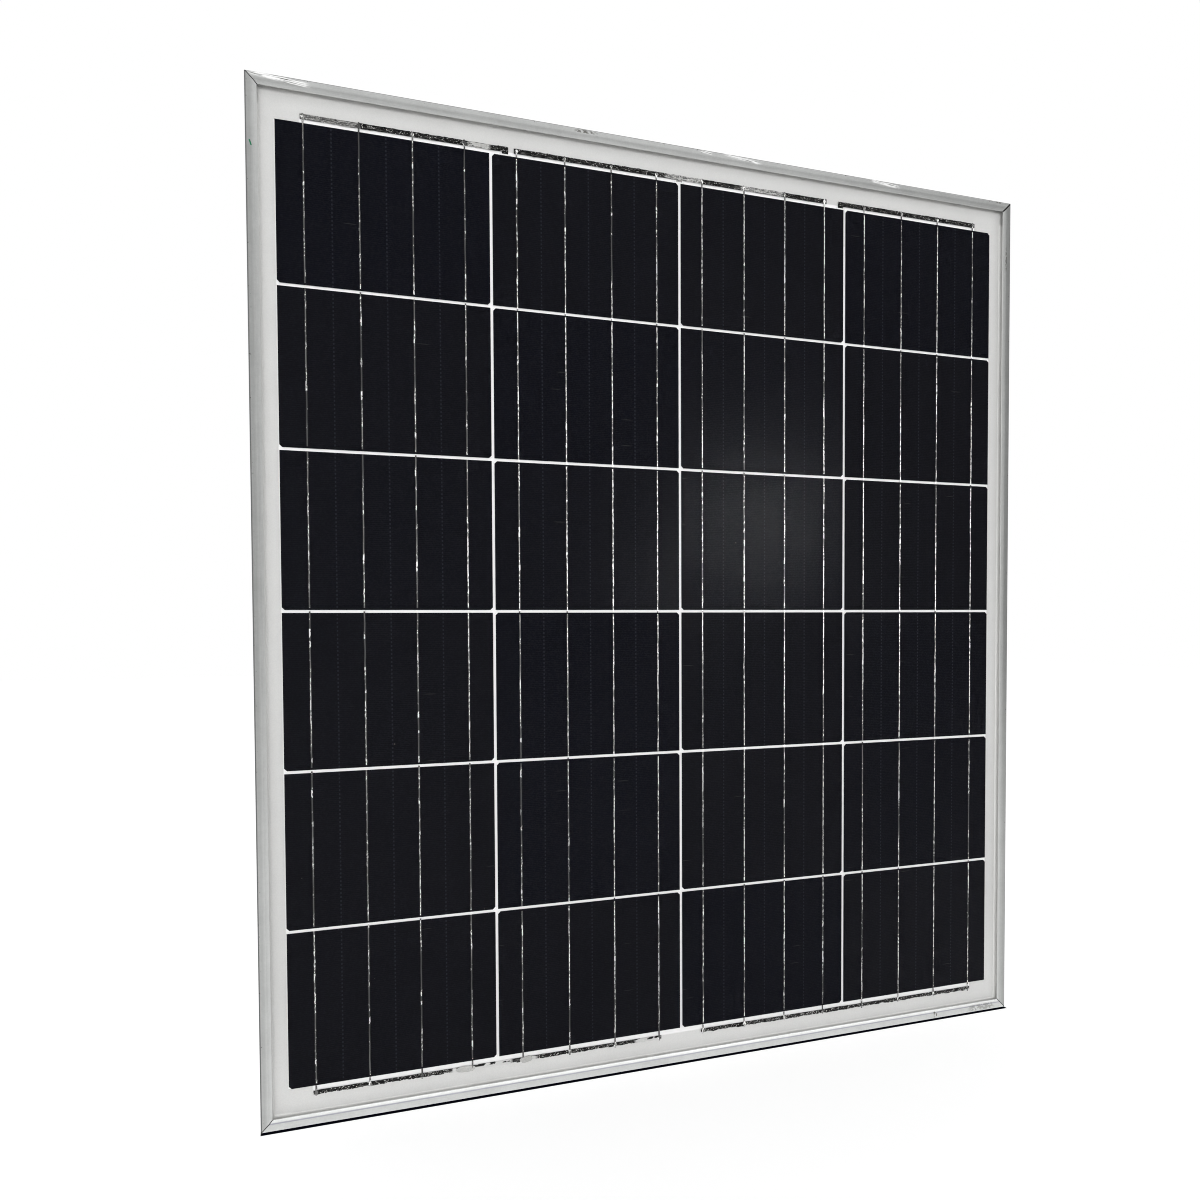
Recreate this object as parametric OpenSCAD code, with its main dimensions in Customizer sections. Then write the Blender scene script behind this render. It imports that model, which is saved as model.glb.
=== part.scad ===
// Framed photovoltaic panel: four strings of six cells laminated behind glass, in a mitred
// aluminium frame with a junction box on the back.
// The panel stands upright: +X is right as seen from the front, +Z is up, the glass faces -Y.
// The origin is the middle of the bottom edge, at half depth.

/* [Cells] */
// Width of one cell
cell_w = 156.75; // [130:0.25:170]
// Height of one cell
cell_h = 117; // [80:0.5:160]
// Thickness of the wafer
cell_t = 0.2; // [0.15:0.05:0.3]
// Gap between neighbouring cells
cell_gap = 2.2; // [1.5:0.1:5]
// Corner cut at the two ends of a wafer's uncut edge
cell_chamfer = 2; // [0.5:0.1:6]
// Pale margin between the outer cells and the side lips
side_margin = 11.5; // [8:0.5:40]
// Pale margin above the top cells
top_margin = 20; // [14:0.5:60]
// Pale margin below the bottom cells
bottom_margin = 18.6; // [14:0.1:60]

/* [Ribbons] */
// Width of a tabbing ribbon
ribbon_w = 1.2; // [0.8:0.1:2]
// Thickness of a tabbing ribbon
ribbon_t = 0.2; // [0.15:0.05:0.3]
// Distance from a cell's edge to its outer ribbon
ribbon_edge = 19.4; // [18:0.1:24]
// Distance by which a ribbon stops short of a cell's far edge
ribbon_inset = 1.5; // [1:0.5:10]
// Length of ribbon that stands out beyond a bus
ribbon_tail = 1; // [0.5:0.1:2]
// Width of a bus ribbon
bus_w = 3.8; // [2.5:0.1:5]
// Gap between the top cells and the buses above them
bus_gap_top = 2.8; // [2:0.1:5]
// Gap between the bottom cells and the buses below them
bus_gap_bottom = 3.8; // [2:0.1:5]
// Length of bus beyond the outermost ribbon that it joins
bus_overhang = 1.5; // [0.5:0.1:2]
// Reach of the left terminal bus past the middle of the first column gap
left_reach = 14; // [8:0.5:15]
// Reach of the right terminal bus past the middle of the last column gap
right_reach = 6.5; // [6:0.5:15]

/* [Bus leads] */
// Width of a lead
lead_w = 5; // [3:0.5:6]
// Thickness of a lead
lead_t = 0.2; // [0.15:0.05:0.3]
// Distance from the lead slits up to the leads' level run
lead_rise = 6; // [4:0.5:9]
// Length of lead soldered down on a terminal
lead_pad = 12; // [8:0.5:20]
// Room round a lead in its slit
slit_clear = 0.5; // [0.3:0.1:1]
// Thickness of the strips between the leads and the cells
insulator_t = 0.15; // [0.1:0.05:0.3]
// Width of strip that shows beside a lead
insulator_edge = 2; // [1:0.5:4]

/* [Laminate] */
// Thickness of the cover glass
glass_t = 3.2; // [2:0.1:4]
// Corner radius of glass and sheets
glass_corner = 2; // [0.5:0.5:5]
// Encapsulant between the glass and the ribbons
front_cover = 0.3; // [0.2:0.05:0.6]
// Encapsulant between the leads and the backsheet
rear_cover = 0.2; // [0.2:0.05:0.6]
// Room round the strings in the encapsulant's pocket
pocket_clear = 1; // [0.5:0.5:3]
// Thickness of the backsheet
backsheet_t = 0.3; // [0.2:0.05:0.5]
// Thickness of the edge seal in front of and behind the laminate
seal_t = 0.4; // [0.3:0.1:1]
// Thickness of the edge seal round the rim of the laminate
seal_rim = 1; // [0.5:0.1:2]
// Distance by which the seal stays back from the edge of the lip
seal_back = 0.6; // [0.3:0.1:2]

/* [Frame rails] */
// Depth of the frame, front to back
frame_d = 30; // [30:0.5:50]
// Wall of the extrusion
wall_t = 1.6; // [1.2:0.1:2.2]
// Width of the front lip
lip_w = 8.2; // [6:0.1:11]
// Thickness of the front lip
lip_t = 1.6; // [1.2:0.1:2.5]
// Width of the bevel along the lip's inner edge
lip_bevel_w = 2.8; // [1:0.1:4]
// Thickness left at the lip's inner edge
lip_edge_t = 0.6; // [0.4:0.1:1]
// Radius of the outer front edge
front_round = 1.2; // [0.5:0.1:1.2]
// Radius of the outer rear edge
rear_round = 0.6; // [0.3:0.1:1]
// Width inside the closed chamber
chamber_w = 9; // [7:0.5:12]
// Wall on the inner side of the chamber
chamber_wall_t = 1.4; // [1:0.1:2]
// Width of the rear flange
flange_w = 26; // [26:0.5:36]
// Spacing of the mounting slots on a side rail
mount_spacing = 400; // [250:1:420]
// Width of a mounting slot
mount_slot_w = 9; // [6.5:0.5:9.5]
// Length of a mounting slot
mount_slot_l = 14; // [11:0.5:20]
// Distance from a rail's inner flange edge to the middle of its slots
mount_edge = 7; // [6:0.5:7.5]
// Diameter of the earthing holes
earth_hole_d = 4.2; // [3:0.1:6]
// Drain slot width, along the flange's width
drain_w = 4; // [2:0.5:6]
// Drain slot length
drain_l = 10; // [5:0.5:20]
// Distance from the panel's corner to the middle of a drain slot
drain_from_corner = 70; // [60:1:120]

/* [Corner keys] */
// Length of a key's leg inside a rail
key_leg = 45; // [30:1:50]
// Clearance between key and chamber
key_fit = 0.15; // [0.1:0.05:0.3]
// Pitch of the barbs along a leg
barb_pitch = 5; // [3:0.5:8]
// Depth of a barb
barb_d = 0.6; // [0.3:0.1:1]
// Wall left round a leg's hollow
key_wall = 2.4; // [1.8:0.1:2.6]
// Solid block left at the corner and at the tip of a leg
key_block = 6; // [4:0.5:8]

/* [Junction box] */
// Width of the box
box_w = 105; // [100:1:140]
// Height of the box
box_h = 85; // [82:1:120]
// Depth of the base, floor to rim
box_d = 16; // [16:0.5:22]
// Wall of the base
box_wall = 2.5; // [2:0.1:3]
// Floor of the base
box_floor = 2; // [1.5:0.1:3]
// Outer corner radius of the box
box_corner = 6; // [4:0.5:10]
// Distance from the top rail's flange to the box
box_below = 20; // [5:1:200]
// Distance from the top of the box to the lead slits
slit_below = 18; // [17:0.5:24]
// Height of the lead window in the floor
window_h = 9; // [8:0.5:10]
// Width of the lead window in the floor
window_w = 76; // [70:1:80]
// Thickness of the adhesive bead under the box
adhesive_t = 1; // [0.5:0.1:2]
// Width of the adhesive bead
adhesive_w = 8; // [4:0.5:8]
// Distance by which the bead stays back from the box's edge
adhesive_back = 1.5; // [0.5:0.1:3]

/* [Lid] */
// Thickness of the lid at its edge
lid_t = 2.5; // [2.2:0.1:4]
// Height of the lid's raised panel
lid_panel_t = 0.8; // [0.4:0.1:1.2]
// Distance from the lid's edge to its raised panel
lid_panel_inset = 12; // [10:0.5:16]
// Width of a stiffening rib on the raised panel
lid_rib_w = 1.6; // [1:0.1:3]
// Height of a stiffening rib on the raised panel
lid_rib_t = 0.6; // [0.3:0.1:0.8]
// Spacing of the stiffening ribs
lid_rib_pitch = 9; // [5:0.5:15]
// Distance from the raised panel's edge to the ends of its ribs
lid_rib_inset = 6; // [2:0.5:12]
// Depth by which the lid's rim reaches into the base
lid_rim_h = 3; // [2:0.5:4]
// Thickness of the lid's rim
lid_rim_t = 1.4; // [1:0.1:2]
// Clearance round the lid's rim
lid_rim_fit = 0.3; // [0.2:0.05:0.5]
// Thickness of the gasket
gasket_t = 1; // [0.5:0.1:1.5]
// Distance by which the gasket stays back from the wall's faces
gasket_back = 0.3; // [0.2:0.1:0.5]
// Diameter of a lid screw's shank
screw_d = 3; // [2.5:0.1:3.5]
// Diameter of a lid screw's head
screw_head_d = 5.6; // [5:0.1:6.5]
// Height of a lid screw's head
screw_head_t = 1.5; // [1.2:0.1:1.6]
// Length of a lid screw's shank below the lid
screw_reach = 9; // [6:0.5:10]
// Width of the arms of a screw's cross recess
cross_w = 0.9; // [0.6:0.1:1.2]
// Length of the arms of a screw's cross recess
cross_l = 3.4; // [2:0.1:4]
// Clearance round screws and other small pieces
fit = 0.15; // [0.1:0.05:0.3]
// Distance from the box's sides to the middle of a screw
boss_inset = 6; // [5.5:0.1:6.5]
// Diameter of a screw boss
boss_d = 8; // [7:0.1:9]

/* [Terminals] */
// Spacing of the three terminals, with a cable gland in line with each outer one
terminal_pitch = 30; // [28:0.5:32]
// Width of a terminal's foot
foot_w = 12; // [10:0.5:14]
// Length of a terminal's foot
foot_l = 36; // [32:0.5:40]
// Thickness of a terminal
clip_t = 1; // [0.8:0.1:1.5]
// Width of an ear that holds a diode's lead
ear_w = 6; // [5:0.5:8]
// Height of the diodes' axis above the floor
diode_h = 6; // [5.5:0.1:7]
// Diameter of a diode's body
diode_d = 7; // [5:0.5:8]
// Length of a diode's body
diode_l = 9; // [6:0.5:10]
// Diameter of a diode's lead
diode_lead_d = 1.2; // [0.8:0.1:1.4]
// Height of the crimp ears above the foot
crimp_h = 5; // [3:0.5:7]
// Length of the crimp ears
crimp_l = 7; // [5:0.5:9]

/* [Cable glands] */
// Diameter of a gland's thread
gland_d = 11; // [10:0.1:12]
// Size of a gland's hexagon collar across its corners
collar_d = 15; // [13.5:0.1:15]
// Thickness of a gland's collar
collar_t = 3; // [2:0.5:4]
// Length of thread outside the collar
gland_l = 9; // [8:0.5:14]
// Length of spigot inside the box
spigot_l = 3; // [2:0.5:5]
// Diameter of the hole through a gland
gland_bore_d = 7.2; // [6.5:0.1:7.5]
// Outer diameter of the rubber seal
gland_seal_d = 8.6; // [8.2:0.1:9]
// Hole in the rubber seal, for the cable
cable_d = 5.6; // [4:0.1:6]
// Length of the rubber seal
gland_seal_l = 7; // [5:0.5:7.5]
// Size of the gland nut across its corners
nut_d = 15.6; // [15:0.1:16]
// Thickness of the nut's end wall, which is drawn in to a nose
nut_end_t = 2.5; // [1.5:0.1:4]
// Diameter of the nose at its tip
nut_nose_d = 10.4; // [9:0.1:12]
// Gap between nut and collar
nut_gap = 1; // [0.5:0.1:2]

/* [Hidden] */
$fn = 48;
cell_cols = 4;
cell_rows = 6;
ribbon_count = 4;
overlap = 1;

pitch_x = cell_w + cell_gap;
pitch_z = cell_h + cell_gap;
array_w = cell_cols * pitch_x - cell_gap;
array_h = cell_rows * pitch_z - cell_gap;
panel_w = array_w + 2 * side_margin + 2 * lip_w;
panel_h = array_h + top_margin + bottom_margin + 2 * lip_w;
z_array = lip_w + bottom_margin;
z_array_top = z_array + array_h;
ribbon_pitch = (cell_w - 2 * ribbon_edge) / (ribbon_count - 1);

// Depths, from the glass to the rear flange
y_front = -frame_d / 2;
y_rear = frame_d / 2;
y_lip = y_front + lip_t;
y_glass = y_lip + seal_t;
y_eva = y_glass + glass_t;
y_ribbon = y_eva + front_cover;
y_cell = y_ribbon + ribbon_t;
y_mid = y_cell + cell_t / 2;
y_back = y_cell + cell_t;
y_strip = y_back + ribbon_t;
y_lead = y_strip + insulator_t;
y_sheet = y_lead + lead_t + rear_cover;
y_sheet_rear = y_sheet + backsheet_t;
y_ledge = y_sheet_rear + seal_t;
y_chamber = y_ledge + wall_t;
y_flange = y_rear - wall_t;

// Rails
chamber_out = wall_t + chamber_w + chamber_wall_t;
mount_s = flange_w - mount_edge;
laminate_inset = wall_t + seal_rim;

// Buses and leads
z_bus_top = z_array_top + bus_gap_top;
z_bus_bottom = z_array - bus_gap_bottom - bus_w;
x_left_end = -pitch_x + left_reach;
x_right_end = pitch_x - right_reach;

// Junction box
z_box_top = panel_h - flange_w - box_below;
z_box = z_box_top - box_h;
z_slit = z_box_top - slit_below;
z_run = z_slit + lead_rise;
y_box = y_sheet_rear + adhesive_t;
y_floor = y_box + box_floor;
y_rim = y_box + box_d;
y_lid = y_rim + gasket_t;
y_lid_rear = y_lid + lid_t;
y_pad = y_floor + clip_t;
z_foot_top = z_slit - window_h / 4;
z_foot = z_foot_top - foot_l;
z_diode = z_foot_top - lead_pad - ear_w / 2;
y_diode = y_floor + diode_h;
ear_x = foot_w / 2 - clip_t;
guide_w = 1.2;
guide_h = 2;
y_gland = (y_box + y_rim) / 2;
z_collar = z_box - collar_t;
z_gland = z_collar - gland_l;
z_nut = z_gland - nut_end_t;

function cell_name(r, c) = str("cell_r", r, "_c", c);
function string_name(c) = str("ribbons_string_", c);
function cell_x(c) = -array_w / 2 + (c - 1) * pitch_x;
function cell_top(r) = z_array_top - (r - 1) * pitch_z;
function cell_bottom(r) = cell_top(r) - cell_h;
function ribbon_x(c, k) = cell_x(c) + ribbon_edge + (k - 1) * ribbon_pitch;
// Strings 1 and 3 carry their cells' front ribbons upwards, strings 2 and 4 downwards
function runs_up(c) = c % 2 == 1;

// A flat outline in X and Z, made solid from depth y0 to depth y1
module slab(y0, y1) {
    translate([0, y1, 0]) rotate([90, 0, 0]) linear_extrude(y1 - y0) children();
}

// A profile in Y and Z, made solid over a width w from x0
module across(x0, w) {
    translate([x0, 0, 0]) rotate([90, 0, 90]) linear_extrude(w) children();
}

module span(x0, x1, z0, z1) {
    translate([x0, z0]) square([x1 - x0, z1 - z0]);
}

module rounded(w, h, r) {
    square([w - 2 * r, h], center = true);
    square([w, h - 2 * r], center = true);
    for (x = [-1, 1], z = [-1, 1]) translate([x * (w / 2 - r), z * (h / 2 - r)]) circle(r);
}

// The panel's front outline, drawn in by an inset
module panel_outline(inset) {
    span(-panel_w / 2 + inset, panel_w / 2 - inset, inset, panel_h - inset);
}

module laminate_outline() {
    translate([0, panel_h / 2])
        rounded(panel_w - 2 * laminate_inset, panel_h - 2 * laminate_inset, glass_corner);
}

// Frame rails: one extrusion, mitred, with its rear flange pierced
module edge_round(r) {
    difference() {
        square(2 * r, center = true);
        translate([r, r]) circle(r);
    }
}

module rail_section() {
    difference() {
        polygon([
            [0, y_front], [lip_w - lip_bevel_w, y_front], [lip_w, y_lip - lip_edge_t], [lip_w, y_lip],
            [wall_t, y_lip], [wall_t, y_ledge], [chamber_out, y_ledge], [chamber_out, y_flange],
            [flange_w, y_flange], [flange_w, y_rear], [0, y_rear]]);
        translate([wall_t, y_chamber]) square([chamber_w, y_flange - y_chamber]);
        translate([0, y_front]) edge_round(front_round);
        translate([0, y_rear]) mirror([0, 1]) edge_round(rear_round);
    }
}

// A rail lies along +Z with its outer face at x = 0 and its flange towards +X
module mitred_rail(length) {
    intersection() {
        linear_extrude(length) rail_section();
        slab(y_front - overlap, y_rear + overlap)
            polygon([[0, 0], [flange_w, flange_w], [flange_w, length - flange_w], [0, length]]);
    }
}

module through_flange() {
    slab(y_flange - overlap, y_rear + overlap) children();
}

module mounting_slot() {
    run = mount_slot_l - mount_slot_w;
    square([mount_slot_w, run], center = true);
    for (side = [-1, 1]) translate([0, side * run / 2]) circle(d = mount_slot_w);
}

module side_rail() {
    difference() {
        mitred_rail(panel_h);
        for (side = [-1, 1]) through_flange()
            translate([mount_s, panel_h / 2 + side * mount_spacing / 2]) mounting_slot();
        through_flange() translate([mount_s, panel_h / 2]) circle(d = earth_hole_d);
    }
}

module end_rail() {
    difference() {
        mitred_rail(panel_w);
        for (z = [drain_from_corner, panel_w - drain_from_corner]) through_flange()
            translate([mount_s, z]) square([drain_w, drain_l], center = true);
    }
}

module frame_rail_left() {
    color("silver") translate([-panel_w / 2, 0, 0]) side_rail();
}

module frame_rail_right() {
    color("silver") translate([panel_w / 2, 0, panel_h]) rotate([0, 180, 0]) side_rail();
}

module frame_rail_top() {
    color("silver") translate([-panel_w / 2, 0, panel_h]) rotate([0, 90, 0]) end_rail();
}

module frame_rail_bottom() {
    color("silver") translate([panel_w / 2, 0, 0]) rotate([0, -90, 0]) end_rail();
}

// Corner keys: barbed, hollowed legs of one right angle
module key_leg_outline() {
    near = wall_t + key_fit;
    far = wall_t + chamber_w - key_fit;
    start = far + key_block / 2;
    barbs = floor((wall_t + key_leg - start) / barb_pitch);
    difference() {
        polygon(concat(
            [[near, near]],
            [for (i = [0:barbs - 1]) each [
                [near, start + i * barb_pitch], [near + barb_d, start + (i + 1) * barb_pitch]]],
            [for (i = [barbs - 1:-1:0]) each [
                [far - barb_d, start + (i + 1) * barb_pitch], [far, start + i * barb_pitch]]],
            [[far, near]]));
        span(near + key_wall, far - key_wall, far + key_block, start + barbs * barb_pitch - key_block);
    }
}

module corner_key() {
    color("darkgray") slab(y_chamber + key_fit, y_flange - key_fit) {
        key_leg_outline();
        mirror([1, -1]) key_leg_outline();
    }
}

module corner_key_bottom_left() {
    translate([-panel_w / 2, 0, 0]) corner_key();
}

module corner_key_bottom_right() {
    mirror([1, 0, 0]) corner_key_bottom_left();
}

module corner_key_top_left() {
    translate([0, 0, panel_h]) mirror([0, 0, 1]) corner_key_bottom_left();
}

module corner_key_top_right() {
    mirror([1, 0, 0]) corner_key_top_left();
}

// Laminate
module edge_seal() {
    color("dimgray") difference() {
        slab(y_lip, y_ledge) panel_outline(wall_t);
        slab(y_glass, y_sheet_rear) laminate_outline();
        slab(y_lip - overlap, y_ledge + overlap) panel_outline(lip_w - seal_back);
    }
}

module front_glass() {
    color([0.85, 0.92, 0.95, 0.3]) slab(y_glass, y_eva) laminate_outline();
}

// The strings and buses lie in one shallow pocket between the two encapsulant sheets
module string_pocket() {
    rim = ribbon_tail + pocket_clear;
    span(-array_w / 2 - pocket_clear, array_w / 2 + pocket_clear,
         z_bus_bottom - rim, z_bus_top + bus_w + rim);
}

module front_encapsulant() {
    color([0.9, 0.9, 0.9, 0.25]) difference() {
        slab(y_eva, y_mid) laminate_outline();
        slab(y_ribbon, y_mid + overlap) string_pocket();
    }
}

module rear_encapsulant() {
    color([0.9, 0.9, 0.9, 0.25]) difference() {
        slab(y_mid, y_sheet) laminate_outline();
        slab(y_mid - overlap, y_strip) string_pocket();
        slab(y_mid - overlap, y_lead + lead_t) {
            insulator_outlines();
            lead_outlines();
        }
        slab(y_lead, y_sheet + overlap) lead_slits();
    }
}

module backsheet() {
    color("white") difference() {
        slab(y_sheet, y_sheet_rear) laminate_outline();
        slab(y_sheet - overlap, y_sheet_rear + overlap) lead_slits();
    }
}

// Cells: wafers cut from larger ones, so that only one long edge has its corners cut
module cell(r, c) {
    w = cell_w / 2;
    h = cell_h / 2;
    cut = cell_chamfer;
    color([0.07, 0.07, 0.1]) slab(y_cell, y_back)
        translate([cell_x(c) + w, cell_bottom(r) + h])
        mirror([0, runs_up(c) ? 1 : 0])
        polygon([[-w, -h], [w, -h], [w, h - cut], [w - cut, h], [cut - w, h], [-w, h - cut]]);
}

// Tabbing ribbons: each runs from the front of one cell, through the gap, to the back of the next
module bent_ribbon(r, up) {
    y_low = up ? y_ribbon : y_back;
    y_high = up ? y_back : y_ribbon;
    z_low = cell_bottom(r + 1) + ribbon_inset;
    z_high = cell_top(r) - ribbon_inset;
    polygon([
        [y_low, z_low], [y_low, cell_top(r + 1)], [y_high, cell_bottom(r)], [y_high, z_high],
        [y_high + ribbon_t, z_high], [y_high + ribbon_t, cell_bottom(r)],
        [y_low + ribbon_t, cell_top(r + 1)], [y_low + ribbon_t, z_low]]);
}

module end_ribbon(y, z0, z1) {
    translate([y, z0]) square([ribbon_t, z1 - z0]);
}

module ribbons_string(c) {
    up = runs_up(c);
    color("gainsboro") for (k = [1:ribbon_count]) {
        x = ribbon_x(c, k) - ribbon_w / 2;
        for (r = [1:cell_rows - 1]) across(x, ribbon_w) bent_ribbon(r, up);
        across(x, ribbon_w) end_ribbon(
            up ? y_ribbon : y_back, cell_bottom(1) + ribbon_inset, z_bus_top + bus_w + ribbon_tail);
        across(x, ribbon_w) end_ribbon(
            up ? y_back : y_ribbon, z_bus_bottom - ribbon_tail, cell_top(cell_rows) - ribbon_inset);
    }
}

// Buses: as thick as the wafers, so that front ribbons lie on them and rear ribbons behind them
module bus_bar(x0, x1, z0) {
    slab(y_cell, y_back) span(x0, x1, z0, z0 + bus_w);
}

function bus_start(c) = ribbon_x(c, 1) - ribbon_w / 2 - bus_overhang;
function bus_end(c) = ribbon_x(c, ribbon_count) + ribbon_w / 2 + bus_overhang;

// Leads fold behind the top cells, run to the junction box and turn through the backsheet
module lead_outline(x_drop, x_slit) {
    half = lead_w / 2;
    span(x_drop - half, x_drop + half, z_run, z_bus_top + bus_w);
    span(min(x_drop, x_slit) - half, max(x_drop, x_slit) + half, z_run, z_run + lead_w);
    span(x_slit - half, x_slit + half, z_slit, z_run + lead_w);
}

module insulator_outline(x_drop, x_slit) {
    half = lead_w / 2 + insulator_edge;
    span(x_drop - half, x_drop + half, z_run - insulator_edge, z_array_top + bus_gap_top / 2);
    span(min(x_drop, x_slit) - half, max(x_drop, x_slit) + half,
         z_run - insulator_edge, z_run + lead_w + insulator_edge);
    span(x_slit - half, x_slit + half, z_slit - insulator_edge, z_run + lead_w);
}

function lead_drops() = [x_left_end - lead_w / 2, 0, x_right_end + lead_w / 2];
function lead_ends() = [-terminal_pitch, 0, terminal_pitch];

module lead_outlines() {
    for (i = [0:2]) lead_outline(lead_drops()[i], lead_ends()[i]);
}

module insulator_outlines() {
    for (i = [0:2]) insulator_outline(lead_drops()[i], lead_ends()[i]);
}

module lead_slits() {
    half = lead_w / 2 + slit_clear;
    for (x = lead_ends()) span(x - half, x + half, z_slit - slit_clear, z_slit + lead_t + slit_clear);
}

module lead(i) {
    half = lead_w / 2;
    drop = lead_drops()[i];
    end = lead_ends()[i];
    slab(y_lead, y_lead + lead_t) lead_outline(drop, end);
    slab(y_back, y_lead + lead_t) span(drop - half, drop + half, z_bus_top, z_bus_top + bus_w);
    slab(y_lead, y_pad + lead_t) span(end - half, end + half, z_slit, z_slit + lead_t);
    slab(y_pad, y_pad + lead_t) span(end - half, end + half, z_slit - lead_pad, z_slit + lead_t);
}

module bus_top_left() {
    color("dimgray") {
        bus_bar(bus_start(1), x_left_end, z_bus_top);
        lead(0);
    }
}

module bus_top_middle() {
    color("dimgray") {
        bus_bar(bus_start(2), bus_end(3), z_bus_top);
        lead(1);
    }
}

module bus_top_right() {
    color("dimgray") {
        bus_bar(x_right_end, bus_end(4), z_bus_top);
        lead(2);
    }
}

module bus_bottom_left() {
    color("dimgray") bus_bar(bus_start(1), bus_end(2), z_bus_bottom);
}

module bus_bottom_right() {
    color("dimgray") bus_bar(bus_start(3), bus_end(4), z_bus_bottom);
}

module lead_insulators() {
    color("white") slab(y_strip, y_lead) insulator_outlines();
}

// Junction box
module box_outline(inset) {
    translate([0, z_box + box_h / 2])
        rounded(box_w - 2 * inset, box_h - 2 * inset, max(box_corner - inset, wall_t / 2));
}

module at_screws() {
    for (x = [-1, 1], z = [z_box + boss_inset, z_box_top - boss_inset])
        translate([x * (box_w / 2 - boss_inset), z]) children();
}

module lead_window() {
    span(-window_w / 2, window_w / 2, z_slit - window_h / 4, z_slit + window_h * 3 / 4);
}

module foot_guides() {
    for (x = lead_ends(), side = [-1, 1])
        translate([x + side * (foot_w / 2 + fit + guide_w / 2), z_foot + foot_l / 2])
            square([guide_w, foot_l], center = true);
}

module at_glands() {
    for (x = [-1, 1]) translate([x * terminal_pitch, y_gland, 0]) children();
}

module junction_box_base() {
    color([0.12, 0.12, 0.13]) difference() {
        union() {
            difference() {
                slab(y_box, y_rim) box_outline(0);
                slab(y_floor, y_rim + overlap) box_outline(box_wall);
            }
            slab(y_box, y_rim) at_screws() circle(d = boss_d);
            slab(y_box, y_floor + guide_h) foot_guides();
        }
        slab(y_box - overlap, y_floor + overlap) lead_window();
        slab(y_rim - screw_reach, y_rim + overlap) at_screws() circle(d = screw_d + 2 * fit);
        at_glands() translate([0, 0, z_box - overlap])
            cylinder(d = gland_d + 2 * fit, h = box_wall + 2 * overlap);
    }
}

module box_adhesive() {
    color("whitesmoke") slab(y_sheet_rear, y_box) difference() {
        box_outline(adhesive_back);
        box_outline(adhesive_back + adhesive_w);
    }
}

module lid_gasket() {
    color("black") slab(y_rim, y_lid) difference() {
        box_outline(gasket_back);
        box_outline(box_wall - gasket_back);
    }
}

// A rim under the lid locates it in the base, and is notched for the bosses and the glands
module lid_rim_outline() {
    inset = box_wall + lid_rim_fit;
    difference() {
        box_outline(inset);
        box_outline(inset + lid_rim_t);
        at_screws() circle(d = boss_d + 2 * lid_rim_fit);
        for (x = [-1, 1]) translate([x * terminal_pitch, z_box])
            square([gland_d + 2 * lid_rim_t, 2 * (inset + lid_rim_t + overlap)], center = true);
    }
}

module lid_rib_outlines() {
    reach = (box_w / 2 - lid_panel_inset) - lid_rib_pitch / 2;
    pairs = floor(reach / lid_rib_pitch);
    length = box_h - 2 * (lid_panel_inset + lid_rib_inset);
    for (i = [-pairs:pairs]) translate([i * lid_rib_pitch, z_box + box_h / 2])
        square([lid_rib_w, length], center = true);
}

module junction_box_lid() {
    color([0.12, 0.12, 0.13]) difference() {
        union() {
            slab(y_lid, y_lid_rear) box_outline(0);
            slab(y_lid, y_lid_rear + lid_panel_t) box_outline(lid_panel_inset);
            slab(y_lid, y_lid_rear + lid_panel_t + lid_rib_t) lid_rib_outlines();
            slab(y_rim - lid_rim_h, y_lid_rear) lid_rim_outline();
        }
        slab(y_lid - overlap, y_lid_rear + overlap) at_screws() circle(d = screw_d + 2 * fit);
        slab(y_lid_rear - screw_head_t, y_lid_rear + overlap) at_screws() circle(d = screw_head_d + 2 * fit);
    }
}

module lid_screws() {
    color("lightgray") difference() {
        union() {
            slab(y_lid_rear - screw_head_t, y_lid_rear) at_screws() circle(d = screw_head_d);
            slab(y_lid - screw_reach, y_lid_rear) at_screws() circle(d = screw_d);
        }
        slab(y_lid_rear - screw_head_t / 2, y_lid_rear + overlap) at_screws() {
            square([cross_l, cross_w], center = true);
            square([cross_w, cross_l], center = true);
        }
    }
}

// Terminals: a foot under each lead, ears for the diodes and crimp ears for the outgoing cables
module terminal(x, ears, crimped) {
    slab(y_floor, y_pad) span(x - foot_w / 2, x + foot_w / 2, z_foot, z_foot_top);
    for (side = ears) difference() {
        slab(y_floor, y_diode + ear_w / 2) translate([x + side * ear_x, z_diode])
            square([clip_t, ear_w], center = true);
        translate([x + side * ear_x, y_diode, z_diode]) rotate([0, 90, 0])
            cylinder(d = diode_lead_d + 2 * fit, h = clip_t + 2 * overlap, center = true);
    }
    if (crimped) for (side = [-1, 1])
        slab(y_floor, y_pad + crimp_h) translate([x + side * ear_x, z_foot + crimp_l / 2])
            square([clip_t, crimp_l], center = true);
}

module terminal_clips() {
    color("goldenrod") {
        terminal(-terminal_pitch, [1], true);
        terminal(0, [-1, 1], false);
        terminal(terminal_pitch, [-1], true);
    }
}

module bypass_diodes() {
    lead_l = terminal_pitch - 2 * ear_x + 3 * clip_t;
    color([0.1, 0.1, 0.1]) for (side = [-1, 1])
        translate([side * terminal_pitch / 2, y_diode, z_diode]) rotate([0, 90, 0]) {
            cylinder(d = diode_d, h = diode_l, center = true);
            cylinder(d = diode_lead_d, h = lead_l, center = true);
        }
}

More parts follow.
